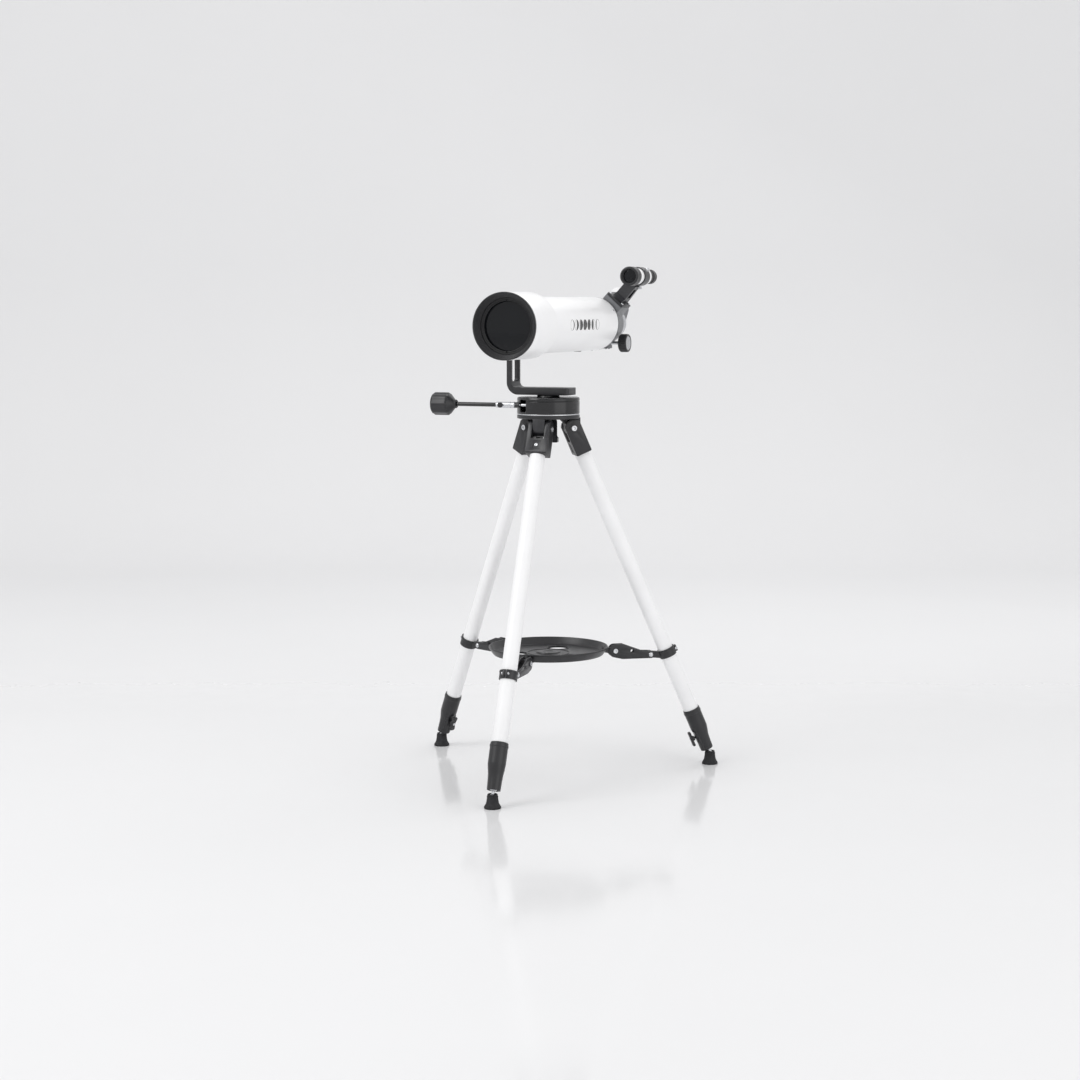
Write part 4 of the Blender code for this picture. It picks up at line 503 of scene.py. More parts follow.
def floor_paint(name, colour):
    """A seamless studio sweep in pale semi-gloss paint, barely mirroring what stands on it."""
    tree, shader, place = begin(name)
    cloud = spread(tree, noise(tree, place, 700, 2.0), 0, 1)
    tree.links.new(tinted(tree, cloud, colour, shade(colour, 0.985)), shader.inputs["Base Color"])
    # The floor is burnished where things stand; the wall behind it is left dull.
    apart = node(tree, "SeparateXYZ", {"Vector": place})
    rise = spread(tree, apart.outputs["Z"], 0, 0.6, 0.0, 0.05)
    back = spread(tree, apart.outputs["Y"], 0, 0.6, 0.5, 1.6)
    dull = node(tree, "Math", {0: rise, 1: back}, operation="MAXIMUM").outputs[0]
    burnish = spread(tree, noise(tree, place, 90, 3.0), 0.1, 0.14)
    tree.links.new(node(tree, "Math", {0: dull, 1: burnish}, operation="ADD").outputs[0],
        shader.inputs["Roughness"])
    shader.inputs["IOR"].default_value = 1.38


# ---------------------------------------------------------------- sizes and colours a user may change

def size(name, node_or_value, description):
    """A length setting in metres."""
    return bpy.props.FloatProperty(
        name=name, description=description, default=node_or_value, min=0.0001, soft_max=1.0,
        precision=4, unit="LENGTH", subtype="DISTANCE",
    )


def colour(name, code, description):
    return bpy.props.FloatVectorProperty(
        name=name, description=description, default=linear(code), size=4, min=0, max=1, subtype="COLOR",
    )


class TripodSettings(bpy.types.PropertyGroup):
    leg_radius: size("Leg radius", 0.0125, "Outside radius of the white leg tube")
    leg_wall: size("Leg wall", 0.0012, "Wall of the white leg tube")
    inner_radius: size("Inner radius", 0.008, "Outside radius of the sliding leg tube")
    tray_radius: size("Tray radius", 0.0985, "Outside radius of the accessory tray")
    tray_depth: size("Tray depth", 0.0115, "Depth of the dish below its rim")
    tray_hole: size("Tray hole", 0.0168, "Radius of each round hole in the tray")
    foot_radius: size("Foot radius", 0.0132, "Radius of the rubber foot where it meets the floor")


class HeadSettings(bpy.types.PropertyGroup):
    drum_radius: size("Drum radius", 0.0512, "Radius of the turning head")
    wheel_teeth: bpy.props.IntProperty(name="Wheel teeth", description="Teeth on the worm wheel",
        default=60, min=12)
    worm_radius: size("Worm radius", 0.005, "Pitch radius of the worm")
    knob_radius: size("Knob radius", 0.01875, "Radius of the slow-motion knob")
    bracket_width: size("Bracket width", 0.040, "Width of the cast arm that carries the tube")


class TubeSettings(bpy.types.PropertyGroup):
    tube_radius: size("Tube radius", 0.0453, "Outside radius of the main tube")
    tube_wall: size("Tube wall", 0.0013, "Wall of the main tube")
    shield_radius: size("Dew shield radius", 0.053, "Outside radius of the dew shield")
    lens_radius: size("Lens radius", 0.0399, "Radius of the objective lens")
    mark_height: size("Mark height", 0.0175, "Size of the moon-phase discs on the tube's side")


class EyeSettings(bpy.types.PropertyGroup):
    drawtube_radius: size("Drawtube radius", 0.025, "Outside radius of the focusing tube")
    focus_knob_radius: size("Focus knob radius", 0.0156, "Radius of the two focus knobs")
    eyepiece_radius: size("Eyepiece radius", 0.015, "Outside radius of the eyepiece")
    finder_radius: size("Finder radius", 0.014, "Outside radius of the finder's tube")


class FinishSettings(bpy.types.PropertyGroup):
    white: colour("Enamel", "#F6F6F7", "Gloss enamel on the tube and the legs")
    black: colour("Black plastic", "#1D1D20", "Moulded fittings")
    soft_black: colour("Rubber", "#17171A", "Feet and grips")
    grey: colour("Grey casting", "#77787B", "Focuser and diagonal")
    silver: colour("Steel", "#D2D3D6", "Bolts, rings and screws")
    brass: colour("Brass", "#C8A45C", "Worm wheel")
    glass: colour("Lens tint", "#15171B", "Coated glass")
    floor: colour("Floor", "#EBEBEC", "Studio floor")


class StageSettings(bpy.types.PropertyGroup):
    lens: bpy.props.FloatProperty(
        name="Lens", description="Focal length of the camera", default=71.72, min=10, unit="CAMERA"
    )
    key: bpy.props.FloatProperty(name="Key light", description="Power of the large soft light", default=30,
        min=0,
                                 unit="POWER")
    fill: bpy.props.FloatProperty(name="Fill light", description="Power of the wide low light", default=13,
        min=0,
                                  unit="POWER")
    sky: bpy.props.FloatProperty(name="Sky", description="Strength of the even light all round",
        default=0.86, min=0)


class TELESCOPE_OT_finishes(bpy.types.Operator):
    """Mix every finish"""
    bl_idname = "telescope.finishes"
    bl_label = "Finishes"

    def execute(self, context):
        f = context.scene.telescope_finish
        enamel("white_enamel", tuple(f.white))
        moulded("black_plastic", tuple(f.black), 0.3, 0.42, 0.7, 0.03)
        moulded("gloss_black", shade(f.black, 0.6), 0.12, 0.24, 1.2, 0.008)
        rubber("black_rubber", tuple(f.soft_black))
        metal("bright_steel", tuple(f.silver), 0.16, 0.32, 1.2, (1.0, 1.0, 1.0))
        metal("satin_aluminium", shade(f.silver, 0.93), 0.2, 0.34, 1.4, (1.0, 1.0, 0.08))
        metal("polished_tube", shade(f.silver, 0.98), 0.08, 0.16, 1.0, (1.0, 0.1, 1.0), 0.002)
        metal("brass", tuple(f.brass), 0.22, 0.36, 1.0, (0.3, 0.3, 1.0))
        cast_metal("grey_casting", tuple(f.grey))
        anodised("blackened_metal", shade(f.black, 0.45))
        lens_glass("coated_glass", tuple(f.glass))
        floor_paint("studio_floor", tuple(f.floor))
        return {"FINISHED"}


# ---------------------------------------------------------------- tripod

class TELESCOPE_OT_leg_yokes(bpy.types.Operator):
    """Moulded forks that hinge the legs on the head"""
    bl_idname = "telescope.leg_yokes"
    bl_label = "Leg yokes"

    def execute(self, context):
        legs = context.scene.telescope_tripod
        spigot = (legs.leg_radius - legs.leg_wall) / MM - 0.3
        outline = [(13.3, -43.5), (13.3, 0)] + arc(0, 0, 14.5, 23.5, 156.5, 25) + [(-13.3, 0),
            (-13.3, -43.5)]
        outline += arc(-11.3, -43, 2, 180, 270, 6) + arc(11.3, -43, 2, 270, 360, 6)
        ring = lathe([(5.0, 0), (7.6, 0), (7.6, 1.2), (5.0, 1.2)], 48, 0.4)
        recess = block((-6.5, -0.9, -39), (6.5, 0.9, -24), 0.0, 2.0)
        for name in LEGS:
            leg = leg_frame(name)
            gap = block((-10.7, -30, -20), (10.7, 30, 30), 0.0)
            cuts = [(gap, at()), (recess, at(y=-13.5)), (recess, at(y=13.5))]
            cuts.append((lathe([(0, -30), (2.8, -30), (2.8, 30), (0, 30)], 40, 0), ALONG_X))
            adds = [(lathe([(0, -70), (spigot, -70), (spigot, -43), (0, -43)], 48, 0), at())]
            piece(name + "_yoke", slab(outline, 17.7), SIDEWAYS, "black_plastic", name + "_leg",
                  [name + "_leg_yoke"], adds, cuts, bevel=0.9, carry=leg)
            bosses = joined((ring, leg @ at(17.4) @ ALONG_X), (ring, leg @ at(-17.4) @ turn(180) @ ALONG_X))
            piece(name + "_yoke_bosses", bosses, Matrix.Identity(4), "black_plastic", name + "_leg")
            screw = leg @ at(y=-12.2, z=-31.5) @ turn(90, "X")
            piece(name + "_yoke_screw", socket_screw(2.6, 1.6, 0.4), screw, "bright_steel", name + "_leg")
        return {"FINISHED"}


class TELESCOPE_OT_leg_tubes(bpy.types.Operator):
    """White leg tubes and the bright tubes that slide out of them"""
    bl_idname = "telescope.leg_tubes"
    bl_label = "Leg tubes"

    def execute(self, context):
        legs = context.scene.telescope_tripod
        r, wall, inner = legs.leg_radius / MM, legs.leg_wall / MM, legs.inner_radius / MM
        ball = -(HINGE_Z - 0.018) / math.cos(LEAN) / MM
        tube = lathe([(r - wall, -45.3), (r, -45.3), (r, -548), (r - wall, -548)], 72, 0.3)
        rod = [
            (0, ball + 22), (inner - 1.2, ball + 22), (inner - 1.2, -130), (r - wall - 0.3, -130),
            (r - wall - 0.3, -150), (inner, -150), (inner, ball + 13.0), (inner - 1.6, ball + 11.0),
            (4.6, ball + 10.4), (4.2, ball + 9.0), (2.5, ball + 8.5), (2.5, ball + 4.33),
        ]
        rod += [(c, ball + s) for c, s in arc(0, 0, 5, 60, -90, 22)[1:-1]] + [(0, ball - 5)]
        for name in LEGS:
            leg = leg_frame(name)
            piece(name + "_leg_tube", tube, leg, "white_enamel", name + "_leg", [name + "_upper_leg"])
            piece(name + "_sliding_tube", lathe(rod, 64, 0.25), leg, "satin_aluminium", name + "_lower_leg",
                  [name + "_lower_leg"])
        return {"FINISHED"}


class TELESCOPE_OT_leg_clamps(bpy.types.Operator):
    """Tapered clamps at the tubes' ends, each with its butterfly screw"""
    bl_idname = "telescope.leg_clamps"
    bl_label = "Leg clamps"

    def execute(self, context):
        legs = context.scene.telescope_tripod
        r, inner = legs.leg_radius / MM, legs.inner_radius / MM
        profile = [
            (r + 0.3, -518), (13.6, -518), (14.2, -519), (14.2, -552), (13.2, -560), (12.0, -568),
            (11.3, -580),
            (10.8, -593), (inner + 0.3, -593), (inner + 0.3, -548.3), (r + 0.3, -548.3),
        ]

        def pinched(r_here, v, z):
            # Outwards, at -Y, the wall draws in towards the foot; inwards it keeps a flat pad for the
            # screw.
            out = np.clip(-np.sin(v), 0, 1)
            low = np.clip((-553 - z) / 24, 0, 1)
            low = low * low * (3 - 2 * low)
            outer = r_here > 9.4
            drawn = r_here - outer * out * low * 1.5
            pad = np.minimum(1.32 / np.maximum(np.sin(v), 0.55), 1.9) * 9.1
            return np.where(outer & (np.sin(v) > 0.62) & (z < -556), np.minimum(drawn + 1.2, pad), drawn)

        body = lathe(profile, 96, 0.6, pinched, rows=2.0)
        band = lathe([(13.9, -521.5), (14.75, -521.9), (14.75, -525.6), (13.9, -526.0)], 72, 0.4)
        split = block((-0.5, 8.2, -594), (0.5, 20, -574))
        bore = (lathe([(0, 2), (2.5, 2), (2.5, 30), (0, 30)], 32, 0), at(z=-567) @ ALONG_Y)
        stem = lathe([(0, 19.6), (3.4, 19.6), (4.4, 17.4), (4.4, 14.6), (2.2, 14.5), (2.2, 8.3), (0, 8.3)],
            48, 0.3)
        wing = [(3.0, -3.6), (6.0, -4.6), (9.5, -5.4), (12.3, -4.6), (13.2, -1.8), (13.2, 1.8), (12.3, 4.6),
                (9.5, 5.4), (6.0, 4.6), (3.0, 3.6)]
        wing += [(-x, -y) for x, y in wing]
        wings = slab(softened(np.asarray(wing) + 50, 1.6, 3) - 50, 2.1, 1.3, 4)
        for name in LEGS:
            leg = leg_frame(name)
            piece(name + "_clamp", body, at(), "black_plastic", name + "_leg", [name + "_leg_clamp"],
                  cut=[(split, at()), bore], carry=leg)
            piece(name + "_clamp_band", band, leg, "black_plastic", name + "_leg")
            place = leg @ at(y=19.5, z=-567) @ turn(90, "X") @ turn(90)
            screw = joined((stem, leg @ at(z=-567) @ ALONG_Y), (wings, place))
            piece(name + "_wing_screw", screw, Matrix.Identity(4), "black_plastic", name + "_clamp_screw",
                  [name + "_clamp_screw"])
            cap = lathe([(0, 0.9), (2.2, 0.6), (2.6, 0), (0, 0)], 40, 0.3)
            piece(name + "_wing_cap", cap, leg @ at(y=22.0, z=-567) @ ALONG_Y, "bright_steel",
                  name + "_clamp_screw")
        return {"FINISHED"}


class TELESCOPE_OT_feet(bpy.types.Operator):
    """Rubber bells on the legs' balls"""
    bl_idname = "telescope.feet"
    bl_label = "Feet"

    def execute(self, context):
        wide = context.scene.telescope_tripod.foot_radius / MM
        profile = [
            (5.6, 20.2), (6.4, 22.5), (7.8, 22.5), (8.2, 20.6), (8.0, 19.4), (8.6, 17.5), (9.2, 13.0),
            (wide - 3.2, 8.2), (wide - 1.0, 4.2), (wide, 3.0), (wide, 0.0), (wide - 2, 0.0),
            (wide - 2.6, 0.8),
            (0, 0.8), (0, 12.2),
        ]
        profile += [(c, 18 + s) for c, s in arc(0, 0, 5.6, -88, 22, 14)]
        collar = lathe([(8.1, 19.2), (8.9, 19.2), (8.9, 17.6), (8.3, 17.6)], 64, 0.3)
        for name in LEGS:
            place = Matrix.Translation(Vector(JOINTS[name + "_foot_tilt"]["pos_m"])) @ at(z=-18)
            bell = lathe(profile, 96, 0.5, rows=1.6)
            swing = place @ at(z=18) @ Matrix.Rotation(TRIPOD_TURN + LEGS[name], 4,
                "Z") @ turn(-math.degrees(LEAN), "X")
            slot_cut = block((-3.1, -3.4, 0), (3.1, 3.4, 14), 0.0, 2.9)
            piece(name + "_rubber_foot", bell, place, "black_rubber", name + "_foot", [name + "_foot"],
                  cut=[(slot_cut, swing @ turn(-13, "X")), (slot_cut, swing),
                  (slot_cut, swing @ turn(13, "X"))])
            piece(name + "_foot_bead", collar, place, "black_rubber", name + "_foot")
        return {"FINISHED"}


class TELESCOPE_OT_spreader(bpy.types.Operator):
    """Bands on the legs and the folding arms that reach the tray"""
    bl_idname = "telescope.spreader"
    bl_label = "Spreader"

    def execute(self, context):
        inner = context.scene.telescope_tripod.leg_radius / MM + 0.3
        cos, sin = math.cos(LEAN), math.sin(LEAN)
        out, up = 174.0 - HINGE_OUT / MM, 191.0 - HINGE_Z / MM
        pin = (-out * cos - up * sin, -out * sin + up * cos)
        band = lathe([(inner, -403.7), (inner + 1.8, -403.7), (inner + 1.8, -418.3), (inner, -418.3)], 96,
            0.6)
        rib = lathe([(inner + 1.5, -404.6), (inner + 2.4, -405.1), (inner + 2.4, -407),
            (inner + 1.5, -407.4)], 96, 0.3)
        ear = [(inner - 1.2, -405), (inner - 1.2, -417)] + arc(pin[0], pin[1], 6, -90, 95, 24)
        clasp = block((-4.2, -inner - 5.2, -416.2), (4.2, -inner - 0.6, -405.8), 0.8, 1.2)
        slit = block((-0.45, -inner - 8, -420), (0.45, -inner + 1, -400))
        hole = (lathe([(0, -9), (2.4, -9), (2.4, 9), (0, 9)], 32, 0), ALONG_X)
        bolt = joined((socket_screw(2.3, 1.8, 4.3), ALONG_X),
            (socket_screw(2.3, 1.8, 4.3), turn(180) @ ALONG_X))
        run, drop = 61.0, -8.0
        arm = [(-run * 0.75, drop + 6.8), (-13, 11)] + [(-y, z) for y, z in arc(0, 0, 11, 100, 250, 22)]
        arm += [(-12, drop - 6)] + [(-y, z) for y, z in arc(run, drop, 6, -90, 80, 18)]
        floor = drop - 6 + 2.4
        channel = [(30, -50), (-13, -50), (-13, floor), (-44, floor), (-44, -50), (-91, -50), (-91, 50),
            (30, 50)]
        rivet = lathe([(0, 1.9), (2.2, 1.7), (3.7, 0.7), (4.0, 0), (0, 0)], 48, 0.35, rows=0.8)
        for name in LEGS:
            leg = leg_frame(name)
            bore = lathe([(0, -430), (inner, -430), (inner, -390), (0, -390)], 96, 0)
            piece(name + "_band", band, at(), "black_plastic", name + "_leg", [name + "_spreader_collar"],
                  [(slab(ear, 4.6), SIDEWAYS), (clasp, at())],
                  [(bore, at()), (slit, at()), (hole[0], at(y=pin[0], z=pin[1]) @ hole[1])], bevel=0.4,
                  carry=leg)
            gaps = [(block((-5, -30, -410), (5, -5, -400)), at()),
                (block((-4.6, 5, -410), (4.6, 30, -400)), at())]
            piece(name + "_band_rib", rib, at(), "black_plastic", name + "_leg",
                cut=gaps,
                  carry=leg)
            piece(name + "_band_bolt", bolt, leg @ at(y=-inner - 3.1, z=-411), "bright_steel",
                name + "_leg")
            place = TRIPOD @ Matrix.Rotation(LEGS[name], 4, "Z") @ at(y=-113, z=199)
            cuts = [(slab(channel, 4.9), SIDEWAYS),
                    (lathe([(0, -20), (2.5, -20), (2.5, 20), (0, 20)], 32, 0), ALONG_X),
                    (lathe([(0, -20), (3.1, -20), (3.1, 20), (0, 20)], 40, 0), at(y=-29, z=-1) @ ALONG_X)]
            piece(name + "_arm", slab(arm, 6.5), SIDEWAYS, "black_plastic", name + "_arm",
                  [name + "_spreader_arm"], cut=cuts, bevel=0.45, carry=place)
            ends = place @ at(y=-run, z=drop)
            rivets = joined((rivet, ends @ at(6.5) @ ALONG_X),
                (rivet, ends @ at(-6.5) @ turn(180) @ ALONG_X))
            piece(name + "_arm_rivets", rivets, Matrix.Identity(4), "bright_steel", name + "_arm")
        return {"FINISHED"}


class TELESCOPE_OT_tray(bpy.types.Operator):
    """A dished tray with three eyepiece holes, ribs and ears"""
    bl_idname = "telescope.tray"
    bl_label = "Tray"

    def execute(self, context):
        s = context.scene.telescope_tripod
        r, deep, hole = s.tray_radius / MM, s.tray_depth / MM, s.tray_hole / MM
        top = height("accessory_tray")
        low = top - deep
        profile = [
            (0, low + 1.6), (7, low + 1.6), (8.2, low + 2.5), (19, low + 2.5), (20.2, low), (r - 9, low),
            (r - 2.2, top - 1.4), (r - 1.4, top), (r, top), (r, top - 2.4), (r - 8, low - 2), (0, low - 2),
        ]
        dish = lathe(profile, 160, 1.0, rows=6.0)
        adds, cuts, lips, pins = [], [], [], []
        lip = lathe([(hole, -2.6), (hole + 2.2, -2.6), (hole + 2.2, 0.9), (hole, 0.9)], 72, 0.4)
        ring = lathe([(34, low - 0.5), (34, low + 0.8), (35.2, low + 0.8), (35.2, low - 0.5)], 120, 0.3)
        for name, spin in LEGS.items():
            place = TRIPOD @ Matrix.Rotation(spin, 4, "Z")
            ear = [(-92, 205), (-92, 197.6)] + arc(-113, 199, 6, 278, 95, 22)
            adds.append((slab(ear, 4.6), place @ SIDEWAYS))
            spot = place @ at(y=53, z=low)
            cuts.append((lathe([(0, -10), (hole, -10), (hole, 10), (0, 10)], 72, 0), spot))
            lips.append((lip, spot))
            lips.append((block((-1.1, -88, low - 4.2), (1.1, -24, low - 1.5), 0.4, 0.6), place))
            line = place @ at(y=-113, z=199)
            shank = lathe([(0, -6.9), (2.2, -6.9), (2.2, 6.9), (0, 6.9)], 40, 0)
            pins += [(shank, line @ ALONG_X), (socket_screw(4, 1.8, 6.7), line @ ALONG_X),
                     (socket_screw(4, 1.8, 6.7), line @ turn(180) @ ALONG_X)]
        piece("tray_dish", dish, TRIPOD, "black_plastic", "tray", ["accessory_tray"], adds,
            cuts)
        piece("tray_lips", joined(*lips), Matrix.Identity(4), "black_plastic", "tray")
        holes = [(lathe([(0, -10), (hole + 1, -10), (hole + 1, 10), (0, 10)], 48, 0),
                  TRIPOD @ Matrix.Rotation(spin, 4, "Z") @ at(y=53, z=low)) for spin in LEGS.values()]
        piece("tray_ring", ring, TRIPOD, "black_plastic", "tray", cut=holes)
        piece("tray_pins", joined(*pins), Matrix.Identity(4), "bright_steel", "tray")
        return {"FINISHED"}


# ---------------------------------------------------------------- turning head

class TELESCOPE_OT_head_plate(bpy.types.Operator):
    """The fixed plate, its lugs and hinge bolts, the bright ring and the lock lever"""
    bl_idname = "telescope.head_plate"
    bl_label = "Head plate"

    def execute(self, context):
        r = context.scene.telescope_head.drum_radius / MM
        low = 587.0
        profile = [
            (6.3, low + 11), (14.4, low + 11), (15, low + 10.4), (15, low + 6), (r - 0.8, low + 6),
            (r, low + 5.2),
            (r, low + 0.8), (r - 0.8, low), (30, low), (28, low + 1.2), (16, low + 1.2), (14, low),
            (6.3, low),
        ]
        z = HINGE_Z / MM
        lug = [(12.5, low + 1 - z), (12.5, 0)] + arc(0, 0, 12.5, 0, -180, 26)[1:-1] + [(-12.5, 0),
            (-12.5, low + 1 - z)]
        rib = [(12, low + 1 - z), (12, 6), (24, low + 1 - z)]
        adds, bolts = [], []
        for spin in LEGS.values():
            place = TRIPOD @ Matrix.Rotation(spin, 4, "Z") @ at(y=-HINGE_OUT / MM, z=z)
            adds += [(slab(lug, 10), place @ SIDEWAYS), (slab(rib, 2), place @ SIDEWAYS)]
            shank = lathe([(0, -18.4), (2.5, -18.4), (2.5, 18.4), (0, 18.4)], 40, 0)
            bolts += [(shank, place @ ALONG_X), (socket_screw(4.6, 2.6, 18.0), place @ ALONG_X),
                      (socket_screw(4.6, 2.6, 18.0), place @ turn(180) @ ALONG_X)]
        piece("head_plate", lathe(profile, 128, 0.3), TRIPOD, "black_plastic", "hub", ["tripod_head"],
              adds, bevel=0.5)
        piece("hinge_bolts", joined(*bolts), Matrix.Identity(4), "bright_steel", "hub")
        ring = lathe([(40, 593.3), (r, 593.3), (r, 595.1), (40, 595.1)], 160, 0.35)
        piece("bright_ring", ring, PAN, "bright_steel", "hub", ["friction_ring"])
        dress("azimuth_spindle", "bright_steel")
        nut = [(6.3, 586.7), (8.4, 586.7), (9, 586), (9, 573.4), (8.2, 572.7), (6.3, 572.7)]
        blade = [(7, 585.7), (7, 549), (8.4, 547.6), (15.6, 547.6), (17, 549), (17, 554.5), (14, 558),
            (14, 583),
                 (11.5, 585.7)]
        bore = lathe([(0, 540), (6.3, 540), (6.3, 600), (0, 600)], 48, 0)
        grooves = [(block((18, -6, z), (14.6, 6, z + 0.9)), PAN) for z in (549.4, 551.2, 553.0)]
        piece("lock_lever", lathe(nut, 64, 0.3), PAN, "black_plastic", "lock_lever", ["azimuth_lock_lever"],
              [(slab(softened(np.asarray(blade) + 50, 1.5, 3) - 50, 4), PAN @ UPRIGHT)],
              [(bore, PAN)] + grooves, bevel=0.5)
        return {"FINISHED"}


class TELESCOPE_OT_housing(bpy.types.Operator):
    """The drum that turns on the head, with the worm's window"""
    bl_idname = "telescope.housing"
    bl_label = "Drum"

    def execute(self, context):
        r = context.scene.telescope_head.drum_radius / MM
        low, top = 595.4, 621.9
        roof, inside = top - 4, r - 3
        profile = [
            (10.3, top + 3.1), (17.9, top + 3.1), (18.5, top + 2.4), (18.9, top), (r - 3.2, top),
            (r - 0.9, top - 0.7),
            (r, top - 2.8), (r, top - 5.6), (r - 0.7, top - 5.9), (r - 0.7, top - 6.7), (r, top - 7.0),
            (r, low + 0.8),
            (r - 0.5, low), (inside, low), (inside, roof), (6.3, roof), (6.3, top), (10.3, top),
        ]
        y = (WORM_PLACE.y - PAN_AT.y) / MM
        z = WORM_PLACE.z / MM
        adds = [(block((min(s * 15, s * 20), y - 11.5, z - 6), (max(s * 15, s * 20), y + 6, roof + 1)), PAN)
                for s in (1, -1)]
        line = PAN @ at(y=y, z=z) @ ALONG_X
        adds.append((lathe([(0, -43.3), (4.6, -43.3), (4.6, -36.5), (0, -36.5)], 48, 0), line))
        cuts = [(block((-34.3, -60, z - 10.8), (-20.9, y + 4, min(z + 9.6, roof)), 0.0), PAN),
                (lathe([(0, -50), (3.2, -50), (3.2, 21), (0, 21)], 40, 0), line)]
        cuts += [(lathe([(0, roof - 5), (2.3, roof - 5), (2.3, top + 8), (0, top + 8)], 32, 0),
            PAN @ turn(a) @ at(14.3))
                 for a in (0, 120, 240)]
        piece("drum", lathe(profile, 160, 0.35), PAN, "gloss_black", "turntable", ["azimuth_housing"],
              adds, cuts, bevel=0.35)
        dress("bracket_stud_plate", "bright_steel")
        return {"FINISHED"}


class TELESCOPE_OT_worm_gear(bpy.types.Operator):
    """The brass wheel and the steel worm that turns the head slowly"""
    bl_idname = "telescope.worm_gear"
    bl_label = "Worm gear"

    def execute(self, context):
        head = context.scene.telescope_head
        r, pitch_r = head.worm_radius / MM, 29.0
        z = WORM_PLACE.z / MM
        outline = gear(head.wheel_teeth, pitch_r, 0.7, 0.7, 0.08, 0.42)
        top = z + 3.8
        bore = lathe([(0, 590), (6.3, 590), (6.3, 630), (0, 630)], 48, 0)
        hub = lathe([(0, 598.3), (22, 598.3), (22, top), (0, top)], 96, 0.4)
        holes = [(lathe([(0, -30), (3, -30), (3, 30), (0, 30)], 32, 0),
            PAN @ turn(a) @ at(14.5, z=z)) for a in range(0, 360, 60)]
        piece("worm_wheel_brass", slab(outline, 2.5), PAN @ at(z=z), "brass", "wheel", ["worm_wheel"],
              [(hub, PAN)], [(bore, PAN)] + holes)
        pitch = 2 * math.pi * pitch_r / head.wheel_teeth
        along = np.concatenate([[-60.7], np.linspace(-9.5, 9.5, 240), [19.0]])
        v = 2 * math.pi * np.arange(48) / 48
        s, a = np.meshgrid(along, v, indexing="ij")
        # The thread is a ridge of the distance along in pitches less the turn round: r = root + rise of
        # that wave.
        phase = np.mod(s / pitch - a / (2 * math.pi) + 0.25, 1.0)
        ridge = np.clip((0.3 - np.abs(phase - 0.5)) / 0.2, 0, 1)
        radius = (r - 1.0) + 1.4 * ridge
        ends = np.clip((9.5 - np.abs(s)) / 0.6, 0, 1)
        radius = 2.9 + (radius - 2.9) * ends
        points = np.stack([radius * np.cos(a), radius * np.sin(a), s], -1)
        shape_points, faces = grid(points, False, True)
        count = len(v)
        faces += [list(range(count))[::-1], list(range(len(shape_points) - count, len(shape_points)))]
        line = PAN @ at(y=(WORM_PLACE.y - PAN_AT.y) / MM, z=z) @ ALONG_X
        piece("worm", (shape_points, faces), line, "bright_steel", "worm", ["worm_shaft"])
        return {"FINISHED"}


class TELESCOPE_OT_slow_motion(bpy.types.Operator):
    """The coupling, the control rod and its knob"""
    bl_idname = "telescope.slow_motion"
    bl_label = "Slow-motion control"

    def execute(self, context):
        knob_r = context.scene.telescope_head.knob_radius / MM
        line = PAN @ at(y=(WORM_PLACE.y - PAN_AT.y) / MM, z=WORM_PLACE.z / MM) @ ALONG_X
        sleeve = [
            (0, -61), (3.2, -61), (3.2, -44.5), (4.4, -44.5), (5, -45.2), (5, -50), (4.6, -50.5),
            (4.6, -51.6),
            (5, -52.1), (5, -70.5), (4.6, -71), (4.6, -72), (5, -72.5), (5, -76.8), (4.4, -77.5),
            (3.8, -77.5),
            (3.8, -63.4), (0, -63.4),
        ]
        screw_line = PAN @ at(-68, (WORM_PLACE.y - PAN_AT.y) / MM, WORM_PLACE.z / MM) @ turn(90, "X")
        hole = lathe([(0, 1), (1.8, 1), (1.8, 12), (0, 12)], 32, 0)
        piece("coupling", lathe(sleeve, 72, 0.25), line, "bright_steel", "worm", ["coupling_sleeve"],
              cut=[(hole, screw_line)])
        stem = lathe([(0, 6), (1.5, 6), (1.5, 3.8), (0, 3.8)], 32, 0)
        head_shape = knurled_head(4.4, 5.0, 5.3, 18, 0.5, 108)
        screw = joined((stem, screw_line), (head_shape, screw_line))
        piece("coupling_thumb_screw", screw, Matrix.Identity(4), "black_plastic", "coupling_screw",
              ["coupling_screw"])
        rod = [(0, -63.7), (3.1, -63.7), (3.5, -64.2), (3.5, -166), (0, -166)]
        piece("control_rod", lathe(rod, 56, 0.2), line, "gloss_black", "worm", ["slow_motion_rod"])
        knob = [
            (0, -166.3), (3.8, -166.3), (3.8, -148), (6.2, -148), (7, -148.8), (7.2, -151.5),
            (knob_r - 1.2, -161), (knob_r, -162.6), (knob_r, -186.8), (knob_r - 2.6, -189.7), (10, -189.7),
            (9, -188.9), (0, -188.9),
        ]
        grip = fluted(8, 1.3, -188.6, -160.5)
        piece("control_knob", lathe(knob, 160, 0.9, grip, rows=1.8), line, "black_plastic", "worm",
              ["slow_motion_knob"])
        return {"FINISHED"}


